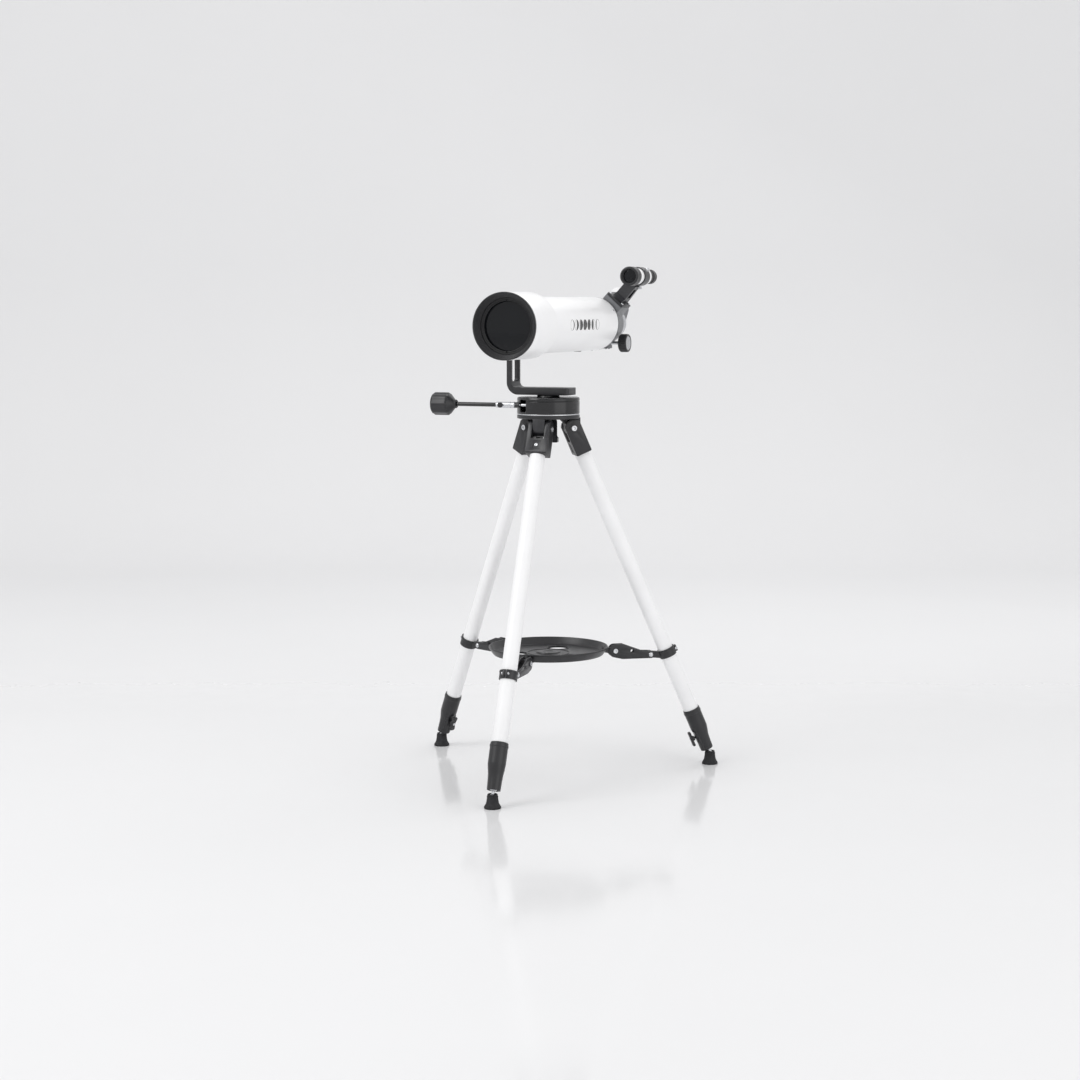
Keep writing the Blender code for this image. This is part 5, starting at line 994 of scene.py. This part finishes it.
class TELESCOPE_OT_bracket(bpy.types.Operator):
    """The cast arm that carries the tube at its side, with the saddle and the clamp knob"""
    bl_idname = "telescope.bracket"
    bl_label = "Bracket"

    def execute(self, context):
        half = context.scene.telescope_head.bracket_width / MM / 2
        low, z = 625.3, PIVOT_Z / MM
        top, left, inner, shelf = z + 20, -65.4, -57.4, low + 11.8
        outline = [(inner, top), (left, top)] + arc(left + 20, low + 20, 20, 180, 270, 24)
        outline += [(40.5, low), (42, low + 1.5), (42, shelf - 1.5), (40.5, shelf)]
        outline += arc(inner + 8, shelf + 8, 8, 270, 180, 14)
        slot_low = low + 21
        slot = arc(-9.25, slot_low + 5, 5, 180, 270, 8) + arc(9.25, slot_low + 5, 5, 270, 360, 8)
        slot += arc(0, slot_low + 67 - 14.25, 14.25, 0, 180, 33)
        corner = [(half + 10, z)] + arc(0, z, half, 0, 180, 49) + [(-half - 10, z), (-half - 10, top + 10),
            (half + 10, top + 10)]
        side = PAN @ at(left) @ SIDEWAYS
        cuts = [(slab(slot, 30), side), (slab(corner, 30), side),
                (lathe([(0, -90), (4.3, -90), (4.3, -40), (0, -40)], 48, 0), PAN @ at(z=z) @ ALONG_X)]
        cuts += [(outer, PAN) for outer in self.corners(half, low, shelf)]
        cuts += [(lathe([(0, low - 5), (2.3, low - 5), (2.3, low + 8.3), (0, low + 8.3)], 32, 0),
            PAN @ turn(a) @ at(14.3))
                 for a in (0, 120, 240)]
        piece("bracket_arm", slab(outline, half), PAN @ UPRIGHT, "black_plastic", "turntable",
            ["mount_bracket"],
              cut=cuts, bevel=0.8)
        self.saddle(z)
        return {"FINISHED"}

    def corners(self, half, low, shelf):
        """The two corners to take off the foot's free end, as upright prisms."""
        made = []
        for sign in (1, -1):
            y = sign * half
            curve = arc(36, y - sign * 6, 6, 0, 90 * sign, 10)
            edge = [(43, y - sign * 6), (43, y + sign), (36, y + sign)] + curve[::-1]
            points, faces = slab(edge, (shelf - low) / 2 + 2)
            made.append((points + [0, 0, (low + shelf) / 2], faces))
        return made

    def saddle(self, z):
        """The saddle block hugs the tube; its stud carries the lobed knob."""
        place = PAN @ at(z=z)
        tube_r = 45.3
        body = block((-54.1, -38, -17), (-35.3, 38, 17))
        adds = [(lathe([(0, -57.1), (15, -57.1), (15, -50), (0, -50)], 96, 0), place @ ALONG_X)]
        cuts = [(lathe([(0, -50), (tube_r + 0.3, -50), (tube_r + 0.3, 50), (0, 50)], 160, 0),
            place @ ALONG_Y),
                (lathe([(0, -90), (4.3, -90), (4.3, -49), (0, -49)], 40, 0), place @ ALONG_X)]
        piece("saddle", body, place, "black_plastic", "telescope", ["tube_saddle"], adds,
            cuts, 0.9)
        screws = [(socket_screw(2.6, 1.6, -0.2), place @ at(-54.1, y) @ turn(180) @ ALONG_X) for y in (-28,
            28)]
        piece("saddle_screws", joined(*screws), Matrix.Identity(4), "bright_steel", "telescope")
        dress("altitude_bolt", "bright_steel")
        start, tall, lobes = -65.7, 16.0, 6

        def lobed(r, v, z_here):
            wide = (r > 11) & (z_here < start - 2.2)
            return np.where(wide, r - 1.6 * (0.5 - 0.5 * np.cos(lobes * v)) ** 0.8, r)

        end = start - tall
        profile = [
            (0, end + 3.4), (4.3, end + 3.4), (4.3, start), (9.5, start), (9.5, start - 3),
            (16, start - 3.2),
            (17, start - 4.6), (17, end + 2.2), (15.4, end), (9, end), (8.2, end + 1.0), (0, end + 1.0),
        ]
        piece("clamp_knob", lathe(profile, 144, 0.6, lobed, rows=1.6), place @ ALONG_X, "black_plastic",
              "altitude_knob", ["altitude_knob"])
        cap = lathe([(0, end + 0.2), (7.2, end + 0.4), (7.8, end + 1.2), (0, end + 1.2)], 64, 0.3)
        piece("clamp_knob_cap", cap, place @ ALONG_X, "bright_steel", "altitude_knob")


# ---------------------------------------------------------------- optical tube

class TELESCOPE_OT_main_tube(bpy.types.Operator):
    """The white tube with its black lining, its baffles and the moon-phase mark"""
    bl_idname = "telescope.main_tube"
    bl_label = "Main tube"

    def execute(self, context):
        s = context.scene.telescope_tube
        r, wall = s.tube_radius / MM, s.tube_wall / MM
        place = TUBE @ ALONG_Y
        shell = lathe([(r - wall, -159.7), (r, -159.7), (r, 212.5), (r - wall, 212.5)], 256, 0.3)
        piece("main_tube_shell", shell, place, "white_enamel", "telescope", ["main_tube"])
        inside = r - wall
        lining = [(inside - 0.4, -149.4), (inside - 0.05, -149.4), (inside - 0.05, 195),
            (inside - 0.4, 195)]
        rings = [(lathe(lining, 128, 0), place)]
        for y, hole in ((-60, 34), (40, 29), (130, 25)):
            rings.append((lathe([(hole, y), (inside - 0.5, y), (inside - 0.5, y + 1), (hole, y + 1)], 128,
                0.2), place))
        piece("baffles", joined(*rings), Matrix.Identity(4), "blackened_metal", "telescope")
        piece("moon_mark", self.moons(r, s.mark_height / MM), place, "gloss_black", "telescope")
        screws = [(socket_screw(1.9, 0.9, r - 0.15), TUBE @ at(y=205) @ turn(a, "Y")) for a in (60, 180,
            300)]
        piece("focuser_screws", joined(*screws), Matrix.Identity(4), "bright_steel", "telescope")
        return {"FINISHED"}

    def moons(self, tube_r, size):
        """Printed discs in a row, from a crescent to a full moon and back.

        With t from -1 to 1 up a disc and s from 0 to 1 across its lit part, the lit part is
        R sqrt(1 - t^2) (k + (1 - k) s) along the tube and R t round it, wrapped at the tube's radius
        plus a film.
        """
        shapes = []
        phases = ((0.6, 1), (0.0, 1), (-0.55, 1), (-1.0, 1), (-0.55, -1), (0.0, -1), (0.6, -1))
        t = np.sin(np.linspace(-math.pi / 2, math.pi / 2, 41))
        film = np.array([0.09] * 7 + [-0.05] * 7)
        s = np.concatenate([np.linspace(0, 1, 7), np.linspace(1, 0, 7)])
        for number, (k, side) in enumerate(phases):
            middle = -8 + 19.6 * number
            radius = size / 2
            width = radius * np.sqrt(np.clip(1 - t**2, 0, 1))[:, None]
            along = middle + side * width * (k + (1 - k) * s[None])
            shapes.append(self.wrapped(tube_r + film[None], along, radius * t[:, None] + 0 * along))
            v = np.linspace(0, 2 * math.pi, 72, endpoint=False)[:, None]
            rim = radius - np.array([0, 0.45, 0.45, 0])[None]
            lift = np.array([0.06, 0.06, -0.05, -0.05])[None]
            ring = self.wrapped(tube_r + lift, middle + rim * np.cos(v), rim * np.sin(v), True)
            shapes.append(ring)
        return joined(*[(shape, Matrix.Identity(4)) for shape in shapes])

    def wrapped(self, radius, along, round_, ring=False):
        """P = (r cos a, -r sin a, along) for the angle a = distance round / r, as a closed skin."""
        a = round_ / radius
        points = np.stack(np.broadcast_arrays(radius * np.cos(a), -radius * np.sin(a), along), -1)
        return grid(points, ring, True)


class TELESCOPE_OT_dew_shield(bpy.types.Operator):
    """The wider white tube round the lens"""
    bl_idname = "telescope.dew_shield"
    bl_label = "Dew shield"

    def execute(self, context):
        s = context.scene.telescope_tube
        r, inner, step = s.shield_radius / MM, s.shield_radius / MM - 1.4, s.tube_radius / MM + 0.3
        profile = [
            (step, -94.7), (r - 0.9, -94.7), (r, -95.6), (r, -186.0), (inner, -186.0), (inner, -97.1),
            (step, -97.1),
        ]
        piece("shield", lathe(profile, 256, 0.4), TUBE @ ALONG_Y, "white_enamel", "telescope",
            ["dew_shield"])
        lining = [(inner - 0.3, -97.4), (inner - 0.05, -97.4), (inner - 0.05, -160.2),
            (inner - 0.3, -160.2)]
        piece("shield_lining", lathe(lining, 128, 0), TUBE @ ALONG_Y, "blackened_metal", "telescope")
        return {"FINISHED"}


class TELESCOPE_OT_lens_end(bpy.types.Operator):
    """The stepped black mouth, the cell, the coated lens pair and the ring that holds it"""
    bl_idname = "telescope.lens_end"
    bl_label = "Lens end"

    def execute(self, context):
        s = context.scene.telescope_tube
        r, lens = s.shield_radius / MM, s.lens_radius / MM
        sleeve = r - 1.7
        count = 7
        deep = np.linspace(-189.2, -176.6, count + 1)
        wide = np.linspace(51.7, 44.6, count + 1)
        steps = [(52.2, -190.4), (51.7, -189.9), (51.7, -189.2)]
        for i in range(count):
            steps += [(float(wide[i + 1]), float(deep[i])), (float(wide[i + 1]), float(deep[i + 1]))]
        steps = steps[:2] + steps[3:]
        profile = [(44.6, -170.0), (sleeve, -170.0), (sleeve, -186.3), (r, -186.3), (r, -189.7),
            (r - 0.7, -190.4)]
        piece("mouth", lathe(profile + steps, 256, 0.3), TUBE @ ALONG_Y, "black_plastic", "telescope",
              ["front_rim"])
        cell = [
            (36.5, -150), (43.7, -150), (43.7, -160), (sleeve, -160), (sleeve, -169.7),
            (lens + 0.3, -169.7),
            (lens + 0.3, -155), (36.5, -155),
        ]
        piece("cell", lathe(cell, 160, 0.3), TUBE @ ALONG_Y, "blackened_metal", "telescope", ["lens_cell"])
        u = np.linspace(1, 0, 28)
        # The front is y = front - bulge (1 - (r / R)^2), a shallow paraboloid.
        dome = [(lens * i, -172.2 - 3.0 * (1 - i * i)) for i in u.tolist()]
        crown = lathe([(0, -165.0), (lens, -165.0)] + dome, 192, 0)
        piece("crown", crown, TUBE @ ALONG_Y, "coated_glass", "telescope", ["crown_lens"],
            sharp=25)
        flint = lathe([(0, -155.3), (lens, -155.3), (lens, -164.7), (0, -164.7)], 192, 0.2)
        piece("flint", flint, TUBE @ ALONG_Y, "coated_glass", "telescope", ["flint_lens"])
        ring = [
            (38.9, -172.8), (44.3, -172.8), (44.3, -176.6), (41.6, -176.6), (41.2, -175.9), (40.4, -175.9),
            (40.0, -176.6), (38.9, -176.2),
        ]
        notches = [(block((36, -1.6, -2), (42.4, 1.6, 2)),
            TUBE @ at(y=-176.6) @ turn(a, "Y") @ turn(90, "X"))
                   for a in (90, 270)]
        piece("lens_ring", lathe(ring, 192, 0.2), TUBE @ ALONG_Y, "blackened_metal", "telescope",
            ["retaining_ring"],
              cut=notches)
        return {"FINISHED"}


# ---------------------------------------------------------------- focuser and eyepiece

class TELESCOPE_OT_focuser(bpy.types.Operator):
    """The cast focuser with the drawtube's bore, the pinion's block and the finder's shoe"""
    bl_idname = "telescope.focuser"
    bl_label = "Focuser"

    def execute(self, context):
        bore = context.scene.telescope_eye.drawtube_radius / MM + 0.3
        profile = [
            (bore, 266), (35.8, 266), (36.8, 265), (37.3, 259), (38.2, 254.5), (42.6, 220), (44.6, 218.6),
            (45.3, 217.6), (45.3, 212.8), (43.7, 212.8), (43.7, 195.5), (39.7, 195.5), (39.7, 212.8),
            (bore, 212.8),
        ]
        tilt = turn(math.degrees(math.atan2(FINDER_PLACE.x, FINDER_PLACE.z)), "Y")
        shaft = TUBE @ at(y=251, z=-33.6) @ ALONG_X
        adds = [(block((-17, 239, -43), (17, 263, -29), 1.2, 2.0), TUBE),
                (block((-18, 218.5, 32), (18, 262, 52.5), 0.6, 1.5), TUBE @ tilt)]
        cuts = [(lathe([(0, 210.8), (bore, 210.8), (bore, 271), (0, 271)], 160, 0), TUBE @ ALONG_Y),
                (block((-4.3, 190, -28.5), (4.3, 280, -20)), TUBE),
                (lathe([(0, -4.8), (6.9, -4.8), (6.9, 4.8), (0, 4.8)], 64, 0), shaft),
                (lathe([(0, -50), (3.3, -50), (3.3, 50), (0, 50)], 48, 0), shaft),
                (lathe([(0, 20), (2.3, 20), (2.3, 60), (0, 60)], 40, 0),
                TUBE @ at(y=257) @ turn(180) @ ALONG_X)]
        piece("focuser_casting", lathe(profile, 192, 0.6), TUBE @ ALONG_Y, "grey_casting", "telescope",
              ["focuser_body"], adds, cuts, bevel=0.5)
        screws = [(socket_screw(1.9, 1.3, 0), TUBE @ at(x, y, -43) @ turn(180, "X"))
                  for x in (-12, 12) for y in (243, 259)]
        piece("pinion_screws", joined(*screws), Matrix.Identity(4), "bright_steel", "telescope")
        return {"FINISHED"}


class TELESCOPE_OT_drawtube(bpy.types.Operator):
    """The bright sliding tube with its rack, its collar and the lock screw"""
    bl_idname = "telescope.drawtube"
    bl_label = "Drawtube"

    def execute(self, context):
        r = context.scene.telescope_eye.drawtube_radius / MM
        inner = r - 1.6
        sleeve = lathe([(inner, 200), (r, 200), (r, 290.4), (inner, 290.4)], 160, 0.3)
        collar = [
            (16.2, 307), (26.4, 307), (27.4, 306), (27.4, 303.5), (26.9, 303.1), (26.9, 302.3),
            (27.4, 301.9),
            (27.4, 290.8), (26.9, 290), (16.2, 290),
        ]
        pitch = 2 * math.pi * 6.0 / 15
        half, line = pitch * 0.3, -33.6 + 6.0
        first = 251 + pitch / 2 - pitch * int((251 - 202) / pitch)
        teeth = int((288 - 200) / pitch) - 2
        outline = [(first + teeth * pitch, -r + 0.9), (first - pitch / 2, -r + 0.9),
            (first - pitch / 2, line + 0.9)]
        for middle in first + pitch * np.arange(teeth):
            outline += [(middle - half, line + 0.9), (middle - 0.25, line - 0.6),
                (middle + 0.25, line - 0.6),
                        (middle + half, line + 0.9)]
        outline.append((first + teeth * pitch, line + 0.9))
        piece("sliding_tube", sleeve, TUBE @ ALONG_Y, "polished_tube", "drawtube", ["drawtube"])
        piece("rack", slab(outline, 4), TUBE @ SIDEWAYS, "satin_aluminium", "drawtube")
        piece("collar", lathe(collar, 160, 0.35), TUBE @ ALONG_Y, "satin_aluminium", "drawtube")
        side = TUBE @ at(y=257) @ turn(180) @ ALONG_X
        stem = lathe([(0, 25.3), (2, 25.3), (2, 41), (0, 41)], 40, 0)
        screw = joined((stem, side), (knurled_head(6, 7, 40.3, 20, 0.6, 120), side))
        piece("lock_screw", screw, Matrix.Identity(4), "black_plastic", "drawtube_lock_screw",
              ["drawtube_lock_screw"])
        return {"FINISHED"}


class TELESCOPE_OT_focus_knobs(bpy.types.Operator):
    """The pinion shaft and a fluted knob with a bright cap at each end"""
    bl_idname = "telescope.focus_knobs"
    bl_label = "Focus knobs"

    def execute(self, context):
        r = context.scene.telescope_eye.focus_knob_radius / MM
        place = TUBE @ at(y=251, z=-33.6)
        line = place @ ALONG_X
        teeth = slab(gear(15, 6.0, 0.6, 0.9, 0.08, 0.3), 4.5)
        axle = lathe([(0, -48), (3, -48), (3, 48), (0, 48)], 56, 0.2)
        shaft = joined((teeth, place @ SIDEWAYS @ turn(90)), (axle, line))
        piece("pinion_shaft", shaft, Matrix.Identity(4), "bright_steel", "focus", ["focus_shaft"])
        profile = [
            (0, 50.2), (r - 3.4, 50.2), (r - 2.8, 51), (r - 1.2, 51), (r, 49.8), (r, 37.8), (r - 2, 35.8),
            (7.2, 35.8), (6.6, 36.6), (3.3, 36.6), (3.3, 48.3), (0, 48.3),
        ]
        knob = lathe(profile, 240, 0.35, fluted(30, 0.75, 37.4, 50.0), rows=1.6)
        cap = lathe([(0, 50.9), (r - 4.4, 50.9), (r - 3.5, 50.3), (0, 50.3)], 96, 0.3)
        for name, end in (("right", line), ("left", place @ turn(180) @ ALONG_X)):
            piece(name + "_knob", knob, end, "black_plastic", "focus", [name + "_focus_knob"])
            piece(name + "_knob_cap", cap, end, "satin_aluminium", "focus")
        return {"FINISHED"}


def bend_point(along, aside):
    """A (Y, Z) point of the diagonal, measured along the tilted light path from the bend, and above it."""
    slope = math.cos(math.pi / 4)
    return 297 + slope * (along - aside), slope * (along + aside)


EYE_LINE = TUBE @ at(y=297) @ turn(-45, "X")


class TELESCOPE_OT_diagonal(bpy.types.Operator):
    """The cast prism diagonal that turns the light up to the eye"""
    bl_idname = "telescope.diagonal"
    bl_label = "Diagonal"

    def execute(self, context):
        barrel = 12.2 + 0.3
        front, depth, reach = 307.3, 17.0, 49.5
        outline = [
            (front, -depth + 2), (front + 3, -depth + 2), bend_point(reach - 2, -depth),
            bend_point(reach, -depth + 2),
            bend_point(reach, depth - 1), bend_point(reach - 1, depth),
            (front, bend_point((front - 297) / math.cos(math.pi / 4) + depth, depth)[1]),
        ]
        near, grown = 312 - 0.3, 0.3
        low = bend_point(16, -12 - grown)
        seat = [
            (near, -8 - grown), (low[0], -8 - grown), bend_point(34 + grown, -12 - grown),
            bend_point(34 + grown, 12 + grown), (near, 20 + grown),
        ]
        adds = [(lathe([(0, 292), (15.9, 292), (15.9, 308.3), (0, 308.3)], 96, 0), TUBE @ ALONG_Y)]
        cuts = [(slab(seat, 13.3), TUBE @ SIDEWAYS),
                (lathe([(0, 287), (10.5, 287), (10.5, 315), (0, 315)], 72, 0), TUBE @ ALONG_Y),
                (lathe([(0, 30), (barrel, 30), (barrel, 60), (0, 60)], 72, 0), EYE_LINE)]
        piece("diagonal_casting", slab(outline, 19), TUBE @ SIDEWAYS, "grey_casting", "diagonal",
              ["diagonal_housing"], adds, cuts, bevel=1.1)
        dress("prism", "coated_glass")
        plate = block((-15.5, -22, 0), (15.5, 12, 0.7), 0.3, 3.0)
        middle = bend_point(20, -17)
        cover = TUBE @ at(0, middle[0], middle[1]) @ turn(-45, "X") @ turn(-90, "X")
        screws = [(socket_screw(1.5, 0.8, 0.6), cover @ at(x, y)) for x in (-12, 12) for y in (-18.5, 8.5)]
        piece("cover_plate", plate, cover, "grey_casting", "diagonal")
        piece("cover_screws", joined(*screws), Matrix.Identity(4), "bright_steel", "diagonal")
        return {"FINISHED"}


class TELESCOPE_OT_eyepiece(bpy.types.Operator):
    """The eyepiece: a bright barrel, a white body with a grip band and the eye cup's dark lens"""
    bl_idname = "telescope.eyepiece"
    bl_label = "Eyepiece"

    def execute(self, context):
        r = context.scene.telescope_eye.eyepiece_radius / MM
        barrel = [(9, 34.5), (12.2, 34.5), (12.2, 50.0), (9, 50.0)]
        body = [
            (0, 71.2), (9, 71.2), (10.6, 73.4), (11.4, 75), (r - 1.6, 75), (r - 0.2, 73.6), (r, 72),
            (r, 60.4),
            (r - 0.5, 59.9), (r - 0.5, 51.6), (r, 51.1), (r, 50.6), (r - 0.6, 49.8), (9, 49.8), (9, 42.5),
            (0, 42.5),
        ]
        piece("eyepiece_body", lathe(body, 144, 0.4), EYE_LINE, "white_enamel", "eyepiece", ["eyepiece"])
        piece("eyepiece_barrel", lathe(barrel, 128, 0.3), EYE_LINE, "bright_steel", "eyepiece")
        grip = lathe([(r - 0.9, 52.4), (r - 0.1, 52.4), (r - 0.1, 59.2), (r - 0.9, 59.2)], 240, 0.2,
                     fluted(60, 0.35, 52.9, 58.7), rows=1.0)
        piece("eyepiece_grip", grip, EYE_LINE, "black_rubber", "eyepiece")
        rim = lathe([(11.2, 74.6), (12.4, 74.6), (12.4, 75.0), (11.2, 75.0)], 96, 0.15)
        piece("eyepiece_rim", rim, EYE_LINE, "satin_aluminium", "eyepiece")
        dome = [(6.8 * i, 71.2 + 0.9 * (1 - i * i)) for i in np.linspace(1, 0, 12).tolist()]
        glass = lathe([(0, 71.1), (6.8, 71.1)] + dome, 72, 0)
        piece("eyepiece_glass", glass, EYE_LINE, "coated_glass", "eyepiece")
        return {"FINISHED"}


# ---------------------------------------------------------------- finder

class TELESCOPE_OT_finder(bpy.types.Operator):
    """The small finder on its leaning bracket, with three thumb screws and a focusing eyepiece"""
    bl_idname = "telescope.finder"
    bl_label = "Finder"

    def execute(self, context):
        r = context.scene.telescope_eye.finder_radius / MM
        x, z = FINDER_PLACE.x / MM, FINDER_PLACE.z / MM
        tilt = turn(math.degrees(math.atan2(x, z)), "Y")
        distance = math.hypot(x, z)
        line = TUBE @ at(x, 0, z) @ ALONG_Y
        inner, outer, base = r + 0.3, r + 2.1, 52.8
        stalk = [
            (234, distance - inner - 0.6), (234, base + 12), (227, base + 6), (220.5, base + 3),
            (261.6, base + 3),
            (260.6, base + 7), (260, base + 12), (254, distance - inner - 0.6),
        ]
        ring = [(inner, 255), (outer, 255), (outer, 231), (inner, 231)]
        adds = [(slab(stalk, 10), TUBE @ tilt @ SIDEWAYS), (lathe(ring, 160, 0), line)]
        cuts = [(lathe([(0, 200), (inner, 200), (inner, 280), (0, 280)], 160, 0), line),
                (slab([(238.5, base + 14), (252, base + 14), (250, distance - inner - 8),
                (238.5, distance - inner - 8)],
                      30), TUBE @ tilt @ SIDEWAYS)]
        foot = block((-18, 218.5, base), (18, 262, base + 4), 0.5, 3.0)
        piece("finder_stand", foot, TUBE @ tilt, "black_plastic", "telescope", ["finder_bracket"],
              adds, cuts, bevel=0.6)
        screws = [(socket_screw(2.6, 2.0, base + 3.8), TUBE @ tilt @ at(sx, sy)) for sx in (-14,
            14) for sy in (223, 257)]
        piece("finder_foot_screws", joined(*screws), Matrix.Identity(4), "bright_steel", "telescope")
        self.tube(r, line)
        self.eye(line)
        thumbs = []
        for angle in (55, 175, 295):
            up = TUBE @ at(x, 243, z) @ turn(angle, "Y")
            thumbs += [(lathe([(0, r + 0.05), (1.5, r + 0.05), (1.5, r + 4), (0, r + 4)], 32, 0), up),
                       (knurled_head(3.6, 4.2, r + 3.6, 14, 0.5, 84), up)]
        piece("finder_thumb_screws", joined(*thumbs), Matrix.Identity(4), "satin_aluminium", "telescope")
        return {"FINISHED"}

    def tube(self, r, line):
        """The white tube with the black bell in front of it, a grey joint between them and the front
        glass."""
        white = [(9, 214.2), (r, 214.2), (r, 270), (0, 270), (0, 262), (9, 262)]
        piece("finder_tube_shell", lathe(white, 144, 0.35), line, "white_enamel", "telescope",
            ["finder_tube"])
        joint = [(9, 211.2), (r + 0.5, 211.2), (r + 0.9, 211.8), (r + 0.9, 213.6), (r + 0.4, 214.2),
            (9, 214.2)]
        piece("finder_joint", lathe(joint, 128, 0.2), line, "satin_aluminium", "telescope")
        bell = [
            (12.5, 193), (12.5, 190), (14.5, 190), (16.0, 190.7), (16.3, 192), (16.3, 199), (16.0, 199.4),
            (16.0, 200.2), (16.3, 200.6), (16.3, 210), (15.6, 211), (9, 211), (9, 196.4), (11.4, 196.4),
            (11.4, 193.6),
        ]
        piece("finder_bell", lathe(bell, 144, 0.3), line, "black_plastic", "telescope")
        dome = [(11.3 * i, 194.6 - 1.2 * (1 - i * i)) for i in np.linspace(1, 0, 14).tolist()]
        glass = lathe([(0, 196.2), (11.3, 196.2)] + dome, 96, 0)
        piece("finder_front_glass", glass, line, "coated_glass", "telescope")

    def eye(self, line):
        """The black eyepiece, with a ribbed grip and its small lens."""
        profile = [
            (0, 301), (8.5, 301), (9.5, 304), (11.5, 304), (12.5, 303), (12.5, 291.2), (11.4, 290.4),
            (10.6, 288),
            (10.6, 281.6), (11.2, 280.8), (12.5, 280.2), (12.5, 270.3), (0, 270.3),
        ]
        grip = fluted(32, 0.55, 292, 302.4)
        piece("finder_eye_body", lathe(profile, 256, 0.35, grip, rows=1.6), line, "black_plastic",
              "finder_eyepiece", ["finder_eyepiece"])
        glass = lathe([(0, 301.05), (6.2, 301.05), (5.4, 301.4), (3, 301.75), (0, 301.9)], 72, 0)
        piece("finder_eye_glass", glass, line, "coated_glass", "finder_eyepiece")


# ---------------------------------------------------------------- stage

class TELESCOPE_OT_stage(bpy.types.Operator):
    """A pale sweep, large soft lights and the camera"""
    bl_idname = "telescope.stage"
    bl_label = "Stage"

    def execute(self, context):
        s = context.scene.telescope_stage
        away, radius, wide = 2.6, 0.9, 7.0
        v = np.linspace(0, math.pi / 2, 24)
        bend_y, bend_z = away + radius * np.sin(v), radius * (1 - np.cos(v))
        y = np.concatenate([[-6.0, -2.0, 0.0], bend_y, [away + radius]])
        z = np.concatenate([[0.0, 0.0, 0.0], bend_z, [5.0]])
        x = np.linspace(-wide, wide, 5)
        points = np.stack([np.broadcast_to(x[None], (len(y), 5)), np.broadcast_to(y[:, None], (len(y), 5)),
                           np.broadcast_to(z[:, None], (len(y), 5))], -1)
        sweep = bpy.data.objects.new("studio_sweep", bpy.data.meshes.new("studio_sweep"))
        corners, faces = grid(points)
        sweep.data.from_pydata(corners, [], faces)
        sweep.data.polygons.foreach_set("use_smooth", np.ones(len(faces), bool))
        sweep.data.materials.append(bpy.data.materials["studio_floor"])
        context.scene.collection.objects.link(sweep)
        sweep.rotation_euler.z = 0.3754
        self.light(context, "key", s.key, 1.6, (-1.7, -2.0, 2.5), (0.0, 0.0, 0.5))
        self.light(context, "fill", s.fill, 2.4, (2.6, -1.2, 1.3), (0.0, 0.0, 0.45))
        self.light(context, "back", s.fill, 1.8, (0.4, 2.0, 2.6), (0.0, 0.0, 0.5))
        world = bpy.data.worlds.new("even_light")
        world.use_nodes = True
        world.node_tree.nodes["Background"].inputs["Color"].default_value = linear("#FFFFFF")
        world.node_tree.nodes["Background"].inputs["Strength"].default_value = s.sky
        context.scene.world = world
        camera = bpy.data.objects.new("camera", bpy.data.cameras.new("camera"))
        camera.data.lens = s.lens
        camera.data.sensor_width = 36.0
        camera.location = (PAN_AT.x + 1.2768, PAN_AT.y - 3.2772, 0.7779)
        camera.rotation_euler = (math.pi / 2 - 0.1108, 0.0, 0.3754)
        context.scene.collection.objects.link(camera)
        context.scene.camera = camera
        context.scene.view_settings.view_transform = "Standard"
        return {"FINISHED"}

    def light(self, context, name, power, size_m, place, aim):
        """A square area light at a place, turned to an aim."""
        lamp = bpy.data.lights.new(name, "AREA")
        lamp.energy = power
        lamp.size = size_m
        item = bpy.data.objects.new(name, lamp)
        item.location = place
        item.rotation_euler = (Vector(aim) - Vector(place)).to_track_quat("-Z", "Y").to_euler()
        context.scene.collection.objects.link(item)


# ---------------------------------------------------------------- panel and registration

PIECES = (
    TELESCOPE_OT_leg_yokes, TELESCOPE_OT_leg_tubes, TELESCOPE_OT_leg_clamps, TELESCOPE_OT_feet,
    TELESCOPE_OT_spreader, TELESCOPE_OT_tray, TELESCOPE_OT_head_plate, TELESCOPE_OT_housing,
    TELESCOPE_OT_worm_gear, TELESCOPE_OT_slow_motion, TELESCOPE_OT_bracket, TELESCOPE_OT_main_tube,
    TELESCOPE_OT_dew_shield, TELESCOPE_OT_lens_end, TELESCOPE_OT_focuser, TELESCOPE_OT_drawtube,
    TELESCOPE_OT_focus_knobs, TELESCOPE_OT_diagonal, TELESCOPE_OT_eyepiece, TELESCOPE_OT_finder,
)
OPERATORS = (TELESCOPE_OT_finishes, *PIECES, TELESCOPE_OT_stage)
SETTINGS = {
    "telescope_tripod": TripodSettings,
    "telescope_head": HeadSettings,
    "telescope_tube": TubeSettings,
    "telescope_eye": EyeSettings,
    "telescope_finish": FinishSettings,
    "telescope_stage": StageSettings,
}


class TELESCOPE_PT_panel(bpy.types.Panel):
    """The settings of each group, and a button for each piece"""
    bl_idname = "TELESCOPE_PT_panel"
    bl_label = "Telescope on a tripod"
    bl_space_type = "VIEW_3D"
    bl_region_type = "UI"
    bl_category = "Telescope"

    def draw(self, context):
        for pointer in SETTINGS:
            box = self.layout.box()
            box.label(text=pointer.replace("telescope_", "").title())
            group = getattr(context.scene, pointer)
            for name in group.__annotations__:
                box.prop(group, name)
        for operator in OPERATORS:
            self.layout.operator(operator.bl_idname)


def register():
    for kind in (*SETTINGS.values(), *OPERATORS, TELESCOPE_PT_panel):
        bpy.utils.register_class(kind)
    for pointer, kind in SETTINGS.items():
        setattr(bpy.types.Scene, pointer, bpy.props.PointerProperty(type=kind))


def unregister():
    for pointer in SETTINGS:
        delattr(bpy.types.Scene, pointer)
    for kind in (TELESCOPE_PT_panel, *OPERATORS[::-1], *SETTINGS.values()):
        bpy.utils.unregister_class(kind)


def main():
    """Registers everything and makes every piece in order."""
    register()
    for operator in OPERATORS:
        group, name = operator.bl_idname.split(".")
        getattr(getattr(bpy.ops, group), name)()


if __name__ == "__main__":
    main()
